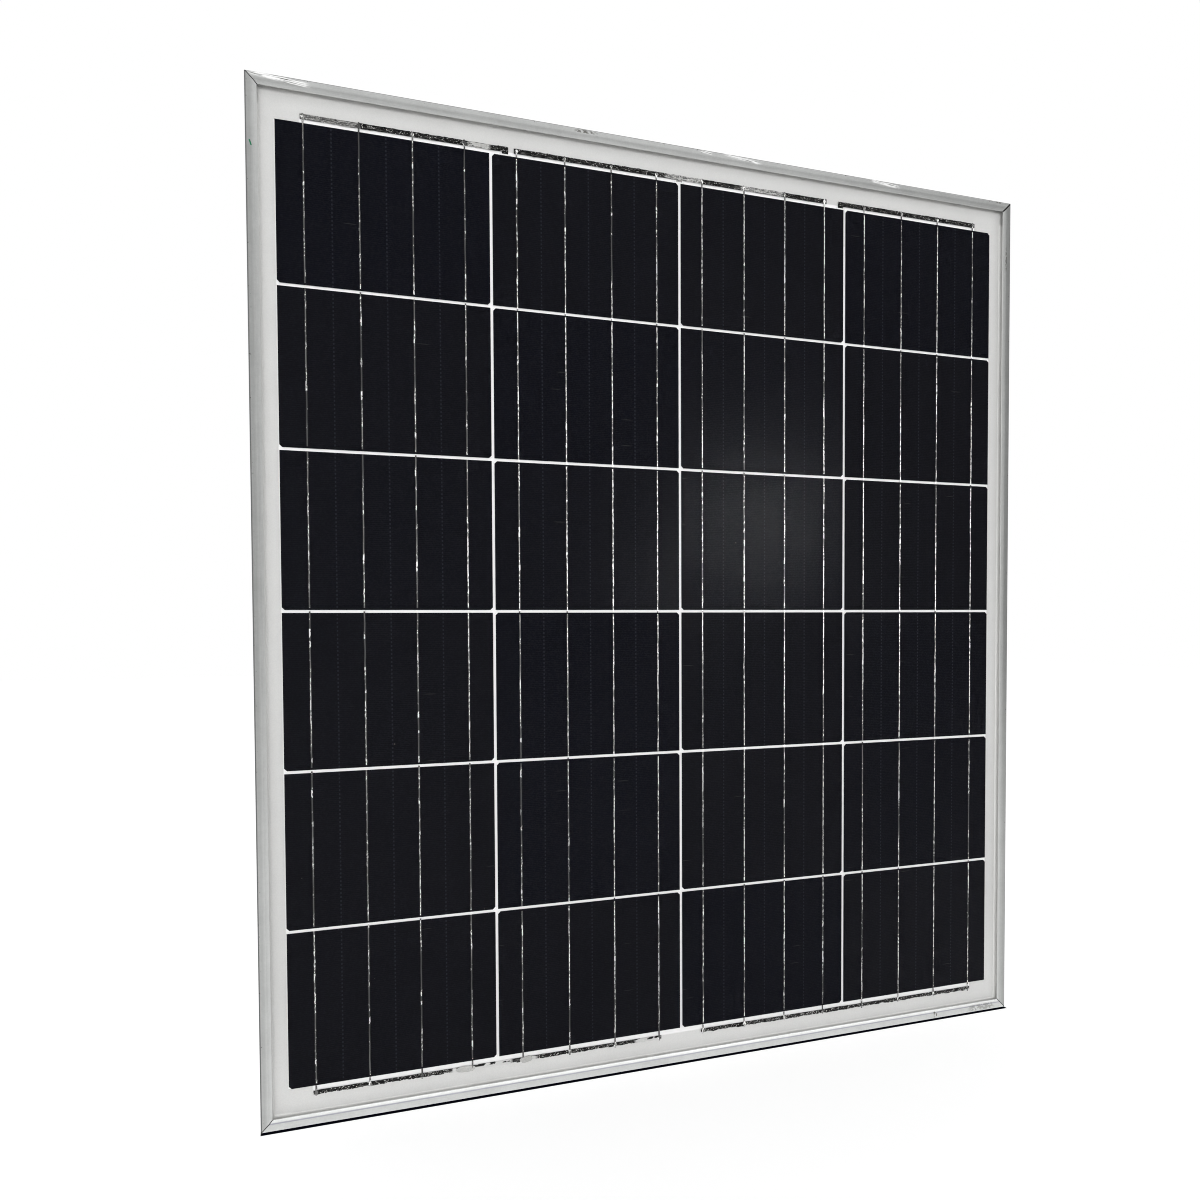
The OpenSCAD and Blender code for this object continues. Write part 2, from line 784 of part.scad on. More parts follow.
// Cable glands point down from the box and are open: each holds a rubber seal under a hexagon nut
module cable_glands() {
    color([0.12, 0.12, 0.13]) at_glands() difference() {
        union() {
            translate([0, 0, z_gland]) cylinder(d = gland_d, h = z_box - z_gland + box_wall + spigot_l);
            translate([0, 0, z_collar]) cylinder(d = collar_d, h = collar_t, $fn = 6);
        }
        translate([0, 0, z_gland - overlap])
            cylinder(d = gland_bore_d, h = z_box - z_gland + box_wall + spigot_l + 2 * overlap);
        translate([0, 0, z_gland - overlap])
            cylinder(d = gland_seal_d + 2 * fit, h = gland_seal_l + overlap);
    }
}

module gland_seals() {
    color("black") at_glands() translate([0, 0, z_gland]) difference() {
        cylinder(d = gland_seal_d, h = gland_seal_l);
        translate([0, 0, -overlap]) cylinder(d = cable_d, h = gland_seal_l + 2 * overlap);
    }
}

module gland_nuts() {
    color([0.12, 0.12, 0.13]) at_glands() difference() {
        union() {
            translate([0, 0, z_gland]) cylinder(d = nut_d, h = z_collar - nut_gap - z_gland, $fn = 6);
            translate([0, 0, z_nut]) cylinder(d1 = nut_nose_d, d2 = nut_d * cos(30), h = nut_end_t);
        }
        translate([0, 0, z_gland]) cylinder(d = gland_d + 2 * fit, h = gland_l);
        translate([0, 0, z_nut - overlap]) cylinder(d = gland_bore_d, h = nut_end_t + 2 * overlap);
    }
}

frame_rail_left();
frame_rail_right();
frame_rail_top();
frame_rail_bottom();
corner_key_top_left();
corner_key_top_right();
corner_key_bottom_left();
corner_key_bottom_right();
edge_seal();
front_glass();
front_encapsulant();
rear_encapsulant();
backsheet();
for (r = [1:cell_rows], c = [1:cell_cols]) cell(r, c);
for (c = [1:cell_cols]) ribbons_string(c);
bus_top_left();
bus_top_middle();
bus_top_right();
bus_bottom_left();
bus_bottom_right();
lead_insulators();
junction_box_base();
junction_box_lid();
lid_gasket();
lid_screws();
terminal_clips();
bypass_diodes();
cable_glands();
gland_seals();
gland_nuts();
box_adhesive();
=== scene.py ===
# %% [markdown]
# # Dressing a framed solar panel
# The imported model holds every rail, cell, ribbon and screw at its real size, so this lesson moves none of
# them. It gives each solid its finish, adds the soldering that shows through the glass, and lights the
# panel as a plain product photograph does.

# %% Load the frame
import math

import bpy
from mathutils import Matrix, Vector


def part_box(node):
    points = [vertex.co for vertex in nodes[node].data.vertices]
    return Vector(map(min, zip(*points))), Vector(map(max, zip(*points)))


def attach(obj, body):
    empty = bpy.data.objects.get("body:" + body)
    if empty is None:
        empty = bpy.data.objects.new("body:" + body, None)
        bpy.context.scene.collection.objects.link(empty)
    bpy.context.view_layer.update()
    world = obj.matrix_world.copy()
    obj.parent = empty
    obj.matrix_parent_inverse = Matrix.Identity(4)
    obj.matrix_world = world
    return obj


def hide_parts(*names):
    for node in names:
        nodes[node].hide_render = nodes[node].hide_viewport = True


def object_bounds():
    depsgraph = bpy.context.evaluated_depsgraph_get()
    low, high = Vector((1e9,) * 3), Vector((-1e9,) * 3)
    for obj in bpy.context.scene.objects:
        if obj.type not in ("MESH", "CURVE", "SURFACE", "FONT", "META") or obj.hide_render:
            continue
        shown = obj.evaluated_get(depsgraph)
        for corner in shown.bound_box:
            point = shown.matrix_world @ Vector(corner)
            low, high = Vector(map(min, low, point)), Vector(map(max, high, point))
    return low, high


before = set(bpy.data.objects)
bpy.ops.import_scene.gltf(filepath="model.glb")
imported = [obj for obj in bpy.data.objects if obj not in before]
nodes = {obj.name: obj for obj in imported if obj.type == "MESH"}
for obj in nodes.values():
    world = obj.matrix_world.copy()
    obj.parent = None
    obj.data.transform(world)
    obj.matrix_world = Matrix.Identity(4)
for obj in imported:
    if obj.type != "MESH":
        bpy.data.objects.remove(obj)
cad_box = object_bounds()
MM = 0.001
print("nodes loaded:", len(nodes), "box:", [round(v, 4) for v in cad_box[1] - cad_box[0]])

# %% [markdown]
# ## Sizes to work from
# Everything drawn later hangs on a few places: the panel's outline, the grid of cells and the depth of each
# layer. They could be typed in again, but then they could drift from the model. Reading them from the
# boxes of the nodes keeps one source for each size.

# %% Measure the panel
panel_low, panel_high = cad_box
PANEL_W = panel_high.x - panel_low.x
PANEL_H = panel_high.z - panel_low.z
FRONT_Y = panel_low.y
ROWS, COLUMNS, RIBBONS = 6, 4, 4
cell_low, cell_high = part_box("cell_r6_c1")
CELL_W = cell_high.x - cell_low.x
CELL_H = cell_high.z - cell_low.z
PITCH_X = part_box("cell_r6_c2")[0].x - cell_low.x
PITCH_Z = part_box("cell_r5_c1")[0].z - cell_low.z
CELL_GAP = PITCH_X - CELL_W
ARRAY_LOW, ARRAY_HIGH = cell_low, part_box("cell_r1_c4")[1]
CELL_FRONT, CELL_BACK = cell_low.y, cell_high.y
ribbon_low, ribbon_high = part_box("ribbons_string_1")
RIBBON_EDGE = 19.4 * MM
RIBBON_PITCH = (CELL_W - 2 * RIBBON_EDGE) / (RIBBONS - 1)
RIBBON_W = 2 * (cell_low.x + RIBBON_EDGE - ribbon_low.x)
RIBBON_FRONT = ribbon_low.y
RIBBON_T = CELL_FRONT - RIBBON_FRONT
print("cell:", round(CELL_W / MM, 2), "x", round(CELL_H / MM, 2), "mm, gap", round(CELL_GAP / MM, 2))

# %% [markdown]
# ## Camera
# The photograph was taken from the left of the middle, at about half the panel's height and close enough
# for strong perspective. The corners of the cells make a grid of known size, so the place, turn and focal
# length follow from it. The optical centre sits a little below the middle of the picture, which a small
# vertical shift of the lens gives. A narrow pixel filter keeps the thin lines on the cells crisp.

# %% Place the camera
IMAGE_SIDE = 1200
FOCAL_PIXELS = 869.3
CENTRE_DROP_PIXELS = 46.7
FILTER_PIXELS = 1.0
EYE = Vector((-288.4, -689.4, 373.9)) * MM
TURN_RIGHT, TILT_DOWN, ROLL = 17.70, 1.58, 0.28

lens = bpy.data.cameras.new("photo_camera")
lens.sensor_width = 36
lens.lens = FOCAL_PIXELS / IMAGE_SIDE * lens.sensor_width
lens.shift_y = CENTRE_DROP_PIXELS / IMAGE_SIDE
camera = bpy.data.objects.new("photo_camera", lens)
camera.location = EYE
camera.rotation_euler = [math.radians(a) for a in (90 - TILT_DOWN, ROLL, -TURN_RIGHT)]
bpy.context.scene.collection.objects.link(camera)
bpy.context.scene.camera = camera
bpy.context.scene.cycles.filter_width = FILTER_PIXELS
print("lens:", round(lens.lens, 2), "mm")

# %% [markdown]
# ## Building materials from nodes
# A finish is a small tree of nodes that ends in one Principled shader. Written out in full, each tree takes
# dozens of lines, so a few helpers do the wiring: one adds a node and fills its sockets, others make the
# sums, blends and noises that every finish uses. All patterns read Object coordinates, in metres, so a
# grain of one millimetre is one millimetre on every piece.

# %% Helpers for node trees
def fill(tree, socket, value):
    """Links a socket to another one, or sets its value. A colour of three numbers gets a full alpha."""
    if isinstance(value, bpy.types.NodeSocket):
        tree.links.new(value, socket)
    elif hasattr(value, "__len__") and len(value) == 3 and len(socket.default_value) == 4:
        socket.default_value = (*value, 1)
    else:
        socket.default_value = value


def put(tree, kind, values=None, **settings):
    """Adds a shader node, sets its options, and fills its named sockets with values or links."""
    made = tree.nodes.new("ShaderNode" + kind)
    for name, value in settings.items():
        setattr(made, name, value)
    for name, value in (values or {}).items():
        fill(tree, made.inputs[name], value)
    return made


def calc(tree, operation, *values):
    """The result of one sum, on numbers or on sockets."""
    return put(tree, "Math", dict(enumerate(values)), operation=operation).outputs[0]


def times(tree, first, second):
    return calc(tree, "MULTIPLY", first, second)


def minus(tree, first, second):
    return calc(tree, "SUBTRACT", first, second)


def away(tree, value, middle):
    """How far a value lies from a middle, on either side."""
    return calc(tree, "ABSOLUTE", minus(tree, value, middle))


def phase(tree, value, start, pitch):
    """How far a value is into its own step, in a row of steps of that pitch."""
    return calc(tree, "MODULO", minus(tree, value, start), pitch)


def ramp(tree, value, start, end, low=0.0, high=1.0):
    """Goes smoothly from low to high while value goes from start to end."""
    values = {"Value": value, "From Min": start, "From Max": end, "To Min": low, "To Max": high}
    return put(tree, "MapRange", values, interpolation_type="SMOOTHSTEP").outputs[0]


def noise(tree, place, size, stretch=(1, 1, 1), detail=2.0):
    """Noise with spots of about that size in metres, drawn out along each axis by stretch."""
    scale = [1 / (size * s) for s in stretch]
    spread = put(tree, "Mapping", {"Vector": place, "Scale": scale})
    values = {"Vector": spread.outputs[0], "Scale": 1.0, "Detail": detail}
    return put(tree, "TexNoise", values).outputs["Fac"]


def blend(tree, share, first, second):
    """A colour that goes from first to second as share goes from 0 to 1."""
    made = tree.nodes.new("ShaderNodeMix")
    made.data_type = "RGBA"
    for index, value in ((0, share), (6, first), (7, second)):
        fill(tree, made.inputs[index], value)
    return made.outputs[2]


def tinted(tree, pale, red, blue):
    """A grey of that paleness, with only a share of its red and of its blue."""
    channels = {"Red": times(tree, pale, red), "Green": pale, "Blue": times(tree, pale, blue)}
    return put(tree, "CombineColor", channels).outputs[0]


def bumped(tree, height, depth):
    return put(tree, "Bump", {"Height": height, "Distance": depth, "Strength": 1.0}).outputs[0]


def split(tree, place):
    return put(tree, "SeparateXYZ", {"Vector": place}).outputs


def facing(tree):
    """The way that the surface faces, along x, y and z."""
    return split(tree, put(tree, "TexCoord").outputs["Normal"])


# %% Helpers for finishes
CLOUD_GRAINS = 25


def new_finish(name):
    """A new material. Returns it, its tree, its Principled shader and the Object coordinates."""
    finish = bpy.data.materials.new(name)
    finish.use_nodes = True
    tree = finish.node_tree
    shader = tree.nodes["Principled BSDF"]
    place = put(tree, "TexCoord").outputs["Object"]
    return finish, tree, shader, place


def coat(tree, shader, colour, roughness, normal):
    """Fills the sockets that every finish sets."""
    for name, value in (("Base Color", colour), ("Roughness", roughness), ("Normal", normal)):
        fill(tree, shader.inputs[name], value)


def plain_finish(name, dark, light, roughness, grain, depth, metallic=0.0):
    """One stuff that drifts between two colours, with a fine grain and broad clouds."""
    finish, tree, shader, place = new_finish(name)
    fine = noise(tree, place, grain, detail=3)
    broad = noise(tree, place, CLOUD_GRAINS * grain)
    tone = calc(tree, "MULTIPLY_ADD", fine, 0.5, times(tree, broad, 0.5))
    colour = blend(tree, ramp(tree, tone, 0.3, 0.7), dark, light)
    rough = ramp(tree, fine, 0.25, 0.75, roughness - 0.06, roughness + 0.06)
    coat(tree, shader, colour, rough, bumped(tree, fine, depth))
    shader.inputs["Metallic"].default_value = metallic
    return finish


def dress(finish, *names):
    """Gives every named node this finish."""
    for name in names:
        for slot in nodes[name].material_slots:
            slot.material = finish
    print(finish.name, "on", len(names), "node(s)")


# %% [markdown]
# ## Anodised frame
# The rails are drawn aluminium with a clear anodised skin: satin, slightly grey, with faint lines along the
# length. Where two rails meet at a mitre a hair of shadow shows, wider at one worn corner. Three rails have
# a thin dark line along the outer edge, painted shade for the dark that the rounded edge mirrors, with
# chips beside it. The bottom one has a line of painted shade at its bevel, which keeps its highlight
# narrow, and the right one has painted light on the inner wall of its lip, which lies in shade. The top
# rail is scraped to bright metal in a few places, and there are some grimy spots and one tick of a green
# pen. A brushed bump alone would miss those marks, so the tree measures how far each point is from the
# mitre and from the outer edge, and paints them there. Each rail mirrors another part of the room, so each
# has a material of its own, and its tones from the outer edge over the bevel are painted light and shade of
# what it mirrors.
# The side rails also grow darker towards the foot.

# %% Marks on the rails
EDGE_W = 1.3 * MM
SCRAPE_SLOPE = 0.075
FIBRE_W, FIBRE_STRETCH = 0.6 * MM, (18, 1, 1)
# Each scrape: its middle along the rail, half length and width in millimetres, and how bare it is
SCRAPES = ((-313, 24, 2.4, 1.0), (-84, 13, 2.0, 0.12), (22, 6, 1.6, 0.8), (56, 20, 1.8, 0.8),
           (197, 18, 2.0, 0.9))
# Each grimy spot: its middle across and up, half width and half height in millimetres, and how dark it is
GRIME = ((331.3, 715, 0.8, 13, 0.75), (309, 4, 19, 3.6, 0.45), (256, 3.9, 2.4, 3.4, 1.0),
         (313, 767, 2.4, 1.3, 0.9), (322, 767, 3.0, 1.3, 0.9), (-84, 765.6, 10, 1.5, 0.8))
GRIME_GRAIN = 2 * MM
TICK_X, TICK_Z = -333.0 * MM, 717.4 * MM
TICK_LEAN = 0.3
TICK_ENDS = (2.4 * MM, 1.6 * MM)
TICK_SIDES = (0.7 * MM, 0.3 * MM)


def scraped(tree, place):
    """Masks of the scrapes on the top rail: their dark grooves, and the bare metal between them."""
    x, y, z = split(tree, place)
    depth = minus(tree, panel_high.z, z)
    region, bare = 0.0, 0.0
    for middle, half, width, share in SCRAPES:
        along = minus(tree, x, middle * MM)
        on = ramp(tree, calc(tree, "ABSOLUTE", along), half * MM, 0.6 * half * MM)
        drift = calc(tree, "MULTIPLY_ADD", along, SCRAPE_SLOPE, EDGE_W + 0.5 * width * MM)
        near = ramp(tree, away(tree, depth, drift), width * MM, 0.4 * width * MM)
        here = times(tree, on, near)
        region = calc(tree, "MAXIMUM", region, here)
        bare = calc(tree, "MAXIMUM", bare, times(tree, here, share))
    tilted = put(tree, "CombineXYZ", {"X": x, "Y": y, "Z": calc(tree, "MULTIPLY_ADD", x, SCRAPE_SLOPE, z)})
    fibre = noise(tree, tilted.outputs[0], FIBRE_W, FIBRE_STRETCH)
    groove = times(tree, region, ramp(tree, fibre, 0.40, 0.35))
    scrape = times(tree, bare, ramp(tree, fibre, 0.47, 0.51))
    below_edge = ramp(tree, depth, 0.2 * MM, 0.5 * MM)
    return times(tree, groove, below_edge), times(tree, scrape, below_edge)


def grimed(tree, place):
    """A mask of the grimy spots, broken up by noise."""
    x, _, z = split(tree, place)
    mask = 0.0
    for middle_x, middle_z, half_x, half_z, share in GRIME:
        across = ramp(tree, away(tree, x, middle_x * MM), half_x * MM, 0.5 * half_x * MM)
        up = ramp(tree, away(tree, z, middle_z * MM), half_z * MM, 0.5 * half_z * MM, 0.0, share)
        mask = calc(tree, "MAXIMUM", mask, times(tree, across, up))
    return times(tree, mask, ramp(tree, noise(tree, place, GRIME_GRAIN, detail=3), 0.44, 0.54))


def ink_tick(tree, place):
    """A mask of one short slanting pen mark on the left rail."""
    x, _, z = split(tree, place)
    up = minus(tree, z, TICK_Z)
    side = calc(tree, "MULTIPLY_ADD", up, TICK_LEAN, minus(tree, x, TICK_X))
    long = ramp(tree, calc(tree, "ABSOLUTE", up), *TICK_ENDS)
    return times(tree, long, ramp(tree, calc(tree, "ABSOLUTE", side), *TICK_SIDES))


print("marks:", len(SCRAPES), "scrapes,", len(GRIME), "grimy spots and one tick")

# %% Rail finish
SEAM_W, WORN_SEAM_W = 0.6 * MM, 1.3 * MM
BEVEL_AT = 5.4 * MM
LINE_W = 0.8 * MM
LIP_W = 8.2 * MM
# Where the right rail's lip wall, which lies in shade, gets painted light.
LIP_WALL = (LIP_W - 0.12 * MM, LIP_W - 0.04 * MM)
LIP_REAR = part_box("front_glass")[0].y + 0.5 * MM
LIP_FADE = 0.5 * MM
OUTER_TONE_W = 3.0 * MM
FRONT_ENDS = (FRONT_Y + 1.6 * MM, FRONT_Y + 1.1 * MM)
# Between these heights the side rails grow darker towards the foot.
FOOT_DARKENS_BETWEEN = (250 * MM, 550 * MM)
DRAWN_W, DRAWN_STRETCH = 0.5 * MM, 60
CHIP_SIZE, CHIPS_WITHIN = 2.4 * MM, (3 * MM, 1 * MM)
# Painted shade that keeps the highlight on the bottom rail's bevel narrow.
BEVEL_SHADE_GREY = (0.30, 0.30, 0.36)
PEN_GREEN = (0.02, 0.27, 0.13)
# Painted shade: the dark that the rounded outer edge mirrors.
EDGE_SHADE_GREY = (0.08, 0.08, 0.085)
CHIP_BLACK = (0.05, 0.05, 0.045)
GRIME_BROWN = (0.10, 0.095, 0.075)
GROOVE_GREY = (0.10, 0.10, 0.095)
BARE_METAL = (0.97, 0.97, 0.96)
SEAM_BLACK = (0.02, 0.02, 0.02)
# Painted light on the lip's shaded inner wall.
WALL_LIGHT_WHITE = (0.95, 0.95, 0.94)


def metal_tone(tree, place, drawn):
    """How much lighter or darker the metal is from place to place: drawn lines, clouds, mottle and dust."""
    cloud = noise(tree, place, 22 * MM, detail=4)
    mottle = noise(tree, place, 4 * MM)
    dust = noise(tree, place, 1.1 * MM, detail=4)
    tone = calc(tree, "MULTIPLY_ADD", drawn, 0.3, times(tree, cloud, 0.3))
    tone = calc(tree, "MULTIPLY_ADD", dust, 0.22, calc(tree, "MULTIPLY_ADD", mottle, 0.18, tone))
    return ramp(tree, tone, 0.36, 0.64, 0.93, 1.07)


def anodised_finish(side, across, outer, inner, on_bevel, shade_and_chips=0.0, bevel_shade=0.0, at_foot=1.0,
                    wall=0.0):
    """How pale the rail is outside, inside and on its bevel, painted light and shade of what it mirrors,
    and by what share that holds at its foot.

    The other shares say how strongly its dark edge (painted shade, with its chips), its bevel line (painted
    shade) and the pale inner wall of its lip (painted light) show.
    """
    finish, tree, shader, place = new_finish(f"anodised_{side}_rail")
    x, y, z = split(tree, place)
    from_side = minus(tree, PANEL_W / 2, calc(tree, "ABSOLUTE", x))
    from_end = minus(tree, PANEL_H / 2, away(tree, z, PANEL_H / 2))
    outside = from_side if across == "X" else from_end
    at_right = calc(tree, "GREATER_THAN", x, 0)
    worn = times(tree, at_right, calc(tree, "GREATER_THAN", z, PANEL_H / 2))
    seam_w = calc(tree, "MULTIPLY_ADD", worn, WORN_SEAM_W - SEAM_W, SEAM_W)
    seam = ramp(tree, away(tree, from_side, from_end), seam_w, times(tree, seam_w, 0.4))
    # The dark outer edge line is painted shade, the dark that the rounded edge mirrors; the chips are wear.
    edge = ramp(tree, outside, EDGE_W, 0.5 * EDGE_W, 0.0, shade_and_chips)
    # The line at the bevel is painted shade, which keeps the bevel's highlight narrow.
    off_line = away(tree, outside, BEVEL_AT + 0.5 * LINE_W)
    line = ramp(tree, off_line, 0.75 * LINE_W, 0.4 * LINE_W, 0.0, bevel_shade)
    chip = ramp(tree, noise(tree, place, CHIP_SIZE, detail=4), 0.66, 0.72, 0.0, shade_and_chips)
    chip = times(tree, chip, ramp(tree, outside, *CHIPS_WITHIN))
    # Painted light: the lip's inner wall lies in shade, and is painted pale and less metallic here.
    wall_light = times(tree, ramp(tree, outside, *LIP_WALL, 0.0, wall),
                  ramp(tree, y, LIP_REAR, LIP_REAR - LIP_FADE))
    drawn = noise(tree, place, DRAWN_W, (1, 1, DRAWN_STRETCH) if across == "X" else (DRAWN_STRETCH, 1, 1))
    # The tones across the face and over the bevel are painted light and shade of what the rail mirrors.
    pale = ramp(tree, outside, OUTER_TONE_W, BEVEL_AT, outer, inner)
    pale = times(tree, pale, ramp(tree, outside, BEVEL_AT, LIP_W, 1.0, on_bevel / inner))
    pale = times(tree, pale, metal_tone(tree, place, drawn))
    pale = times(tree, pale, ramp(tree, z, *FOOT_DARKENS_BETWEEN, at_foot, 1.0))
    colour = tinted(tree, pale, 0.985, 0.985)
    front = ramp(tree, y, *FRONT_ENDS)
    groove, scrape = [times(tree, mask, front) for mask in scraped(tree, place)]
    on_front = ((line, BEVEL_SHADE_GREY), (ink_tick(tree, place), PEN_GREEN), (edge, EDGE_SHADE_GREY),
                (chip, CHIP_BLACK), (grimed(tree, place), GRIME_BROWN))
    marks = [(times(tree, mask, front), paint) for mask, paint in on_front]
    marks += [(groove, GROOVE_GREY), (scrape, BARE_METAL), (seam, SEAM_BLACK), (wall_light, WALL_LIGHT_WHITE)]
    for mask, paint in marks:
        colour = blend(tree, mask, colour, paint)
    roughness = calc(tree, "MULTIPLY_ADD", drawn, 0.16, 0.28)
    coat(tree, shader, colour, roughness, bumped(tree, drawn, 0.012 * MM))
    not_mirrored = calc(tree, "MAXIMUM", scrape, wall_light)
    fill(tree, shader.inputs["Metallic"], ramp(tree, not_mirrored, 0.0, 1.0, 0.9, 0.0))
    return finish


# Each rail's outer, inner and bevel tones are painted light and shade of what it mirrors.
dress(anodised_finish("left", "X", outer=0.585, inner=0.70, on_bevel=0.79, shade_and_chips=0.85, at_foot=0.81),
      "frame_rail_left")
dress(anodised_finish("right", "X", outer=0.49, inner=0.57, on_bevel=0.74, shade_and_chips=0.85, at_foot=0.82,
                      wall=0.75), "frame_rail_right")
dress(anodised_finish("top", "Z", outer=0.77, inner=0.61, on_bevel=0.75, shade_and_chips=0.75), "frame_rail_top")
dress(anodised_finish("bottom", "Z", outer=0.64, inner=0.62, on_bevel=0.84, bevel_shade=0.75),
      "frame_rail_bottom")

# %% [markdown]
# ## Cover glass and encapsulant
# The front is low-iron glass with a fine rolled texture and a coating against reflections: nearly clear,
# with a soft sheen instead of a mirror image. A full glass shader would bend the light and keep lamps out,
# so the sheet is a Transparent shader with a share of a rough, glossy one that grows towards a grazing
# look. That share is mostly on the front face: behind it the encapsulant has the same index as glass, and
# the boundary can't be seen. The encapsulant is almost invisible for the same reason, and has no gloss.

# %% Glass finish
LAYERS_SEEN_THROUGH = 48
bpy.context.scene.cycles.transparent_max_bounces = LAYERS_SEEN_THROUGH


def show(tree, shader):
    tree.links.new(shader.outputs[0], tree.nodes["Material Output"].inputs["Surface"])


def clear_finish(name, share, tint, roughness, grain, depth, gloss):
    """Share is how much of the shader shows at a grazing look, and gloss how strongly it reflects."""
    finish, tree, shader, place = new_finish(name)
    rolled = noise(tree, place, grain, detail=3)
    grazing = put(tree, "LayerWeight", {"Blend": 0.5}).outputs["Facing"]
    front = ramp(tree, facing(tree)[1], -0.5, -0.8, 0.1 * share, share)
    front = times(tree, front, ramp(tree, grazing, 0.42, 0.95))
    rough = ramp(tree, rolled, 0.2, 0.8, roughness - 0.04, roughness + 0.04)
    coat(tree, shader, tint, rough, bumped(tree, rolled, depth))
    shader.inputs["Specular IOR Level"].default_value = gloss
    clear = put(tree, "BsdfTransparent")
    show(tree, put(tree, "MixShader", {0: front, 1: clear.outputs[0], 2: shader.outputs[0]}))
    return finish


dress(clear_finish("rolled_solar_glass", share=0.35, tint=(0.01, 0.012, 0.012), roughness=0.3,
                   grain=0.7 * MM, depth=0.01 * MM, gloss=1.0), "front_glass")
dress(clear_finish("clear_encapsulant", share=0.01, tint=(0.02, 0.02, 0.018), roughness=0.5,
                   grain=3 * MM, depth=0.01 * MM, gloss=0.0), "front_encapsulant", "rear_encapsulant")

# %% [markdown]
# ## Silicon cells
# Each wafer is blue-black from its coating, and no two match: some are bluer, some browner. Silver fingers
# finer than a hair cross it every millimetre and a half, with a faint dotted line midway between ribbons,
# and a few dashes and specks lie on it. Twenty-four materials would be a lot of copies. One tree can count
# which cell a point is on, and a white noise of that number gives each wafer its own tint and gloss, and
# makes it lean a little.

# %% Cell finish
FINGER_PITCH = 1.5 * MM
FINGER_W = 0.2 * MM
DOT_PITCH = 3 * MM
DOT_ACROSS, DOT_UP = (0.7 * MM, 0.4 * MM), (0.95 * MM, 0.55 * MM)
CELL_LEAN = 0.10
CELL_SEED = 6.0
BLUE_BLACK = (0.0034, 0.0038, 0.0066)
BROWN_BLACK = (0.0047, 0.0048, 0.0067)
GRAIN_GREY = (0.0078, 0.0082, 0.0108)
FINGER_SILVER = (0.05, 0.05, 0.055)
DOT_SILVER = (0.019, 0.020, 0.026)
DASH_GREY = (0.045, 0.045, 0.042)
SPECK_GREY = (0.075, 0.07, 0.062)


def vector_calc(tree, operation, *values):
    return put(tree, "VectorMath", dict(enumerate(values)), operation=operation).outputs[0]


def specks(tree, place, pitch, stretch, size, kept):
    """A mask of small marks, one in each square of a loose grid, of which only a share is kept."""
    spread = put(tree, "Mapping", {"Vector": place, "Scale": [1 / (pitch * v) for v in stretch]}).outputs[0]
    spots = put(tree, "TexVoronoi", {"Vector": spread, "Scale": 1.0}).outputs
    chosen = calc(tree, "LESS_THAN", split(tree, spots["Color"])[0], kept)
    return times(tree, chosen, ramp(tree, spots["Distance"], size / pitch, 0.4 * size / pitch))


def silicon_finish():
    """The tints are laid over each other: the wafer's own, its grain, fingers, dots, dashes and specks."""
    finish, tree, shader, place = new_finish("textured_silicon")
    x, _, z = split(tree, place)
    across = minus(tree, x, ARRAY_LOW.x)
    up = minus(tree, z, ARRAY_LOW.z)
    column = calc(tree, "FLOOR", calc(tree, "DIVIDE", across, PITCH_X))
    row = calc(tree, "FLOOR", calc(tree, "DIVIDE", up, PITCH_Z))
    number = put(tree, "CombineXYZ", {"X": column, "Y": row, "Z": CELL_SEED}).outputs[0]
    random = put(tree, "TexWhiteNoise", {"Vector": number}).outputs
    chance = random["Value"]
    tint = blend(tree, ramp(tree, chance, 0.0, 1.0), BLUE_BLACK, BROWN_BLACK)
    grain = noise(tree, place, 1.0 * MM, (1.5, 1, 1))
    tint = blend(tree, ramp(tree, grain, 0.42, 0.70, 0.0, 0.9), tint, GRAIN_GREY)
    finger = calc(tree, "PINGPONG", up, FINGER_PITCH / 2)
    tint = blend(tree, ramp(tree, finger, FINGER_W, 0.5 * FINGER_W, 0.0, 0.07), tint, FINGER_SILVER)
    inside = minus(tree, phase(tree, x, ARRAY_LOW.x, PITCH_X), RIBBON_EDGE + RIBBON_PITCH / 2)
    off_line = calc(tree, "PINGPONG", inside, RIBBON_PITCH / 2)
    off_dot = calc(tree, "PINGPONG", up, DOT_PITCH / 2)
    dotted = times(tree, ramp(tree, off_line, *DOT_ACROSS), ramp(tree, off_dot, *DOT_UP))
    tint = blend(tree, dotted, tint, DOT_SILVER)
    dash = specks(tree, place, pitch=34 * MM, stretch=(1.6, 1, 0.11), size=4.2 * MM, kept=0.16)
    tint = blend(tree, times(tree, dash, 0.5), tint, DASH_GREY)
    speck = specks(tree, place, pitch=17 * MM, stretch=(1, 1, 1), size=0.75 * MM, kept=0.07)
    tint = blend(tree, speck, tint, SPECK_GREY)
    lean = vector_calc(tree, "SUBTRACT", random["Color"], (0.5, 0.5, 0.5))
    lean = vector_calc(tree, "MULTIPLY", lean, (CELL_LEAN,) * 3)
    leaning = vector_calc(tree, "ADD", put(tree, "NewGeometry").outputs["Normal"], lean)
    normal = vector_calc(tree, "NORMALIZE", leaning)
    coat(tree, shader, tint, ramp(tree, chance, 0.0, 1.0, 0.26, 0.29), normal)
    shader.inputs["Specular IOR Level"].default_value = 0.04
    return finish


cells = [f"cell_r{r}_c{c}" for r in range(1, ROWS + 1) for c in range(1, COLUMNS + 1)]
dress(silicon_finish(), *cells)

# %% [markdown]
# ## Tinned ribbons
# The tabbing ribbons are copper dipped in solder, so they shine in short broken glints between dull grey
# stretches. Plain metal would mirror the whole room at once, so noises choose where glints are painted
# into the colour as pale, less metallic spots: painted highlights, fewer but paler towards the left and
# dimmer in the second and third rows from the foot. The rounded sides get painted shade. In the gaps
# between rows the ribbons are painted white, a painted highlight where they bend, and some get a painted
# shadow at their foot.

# %% Ribbon finish
GLINTS_FULL_AT = 50 * MM
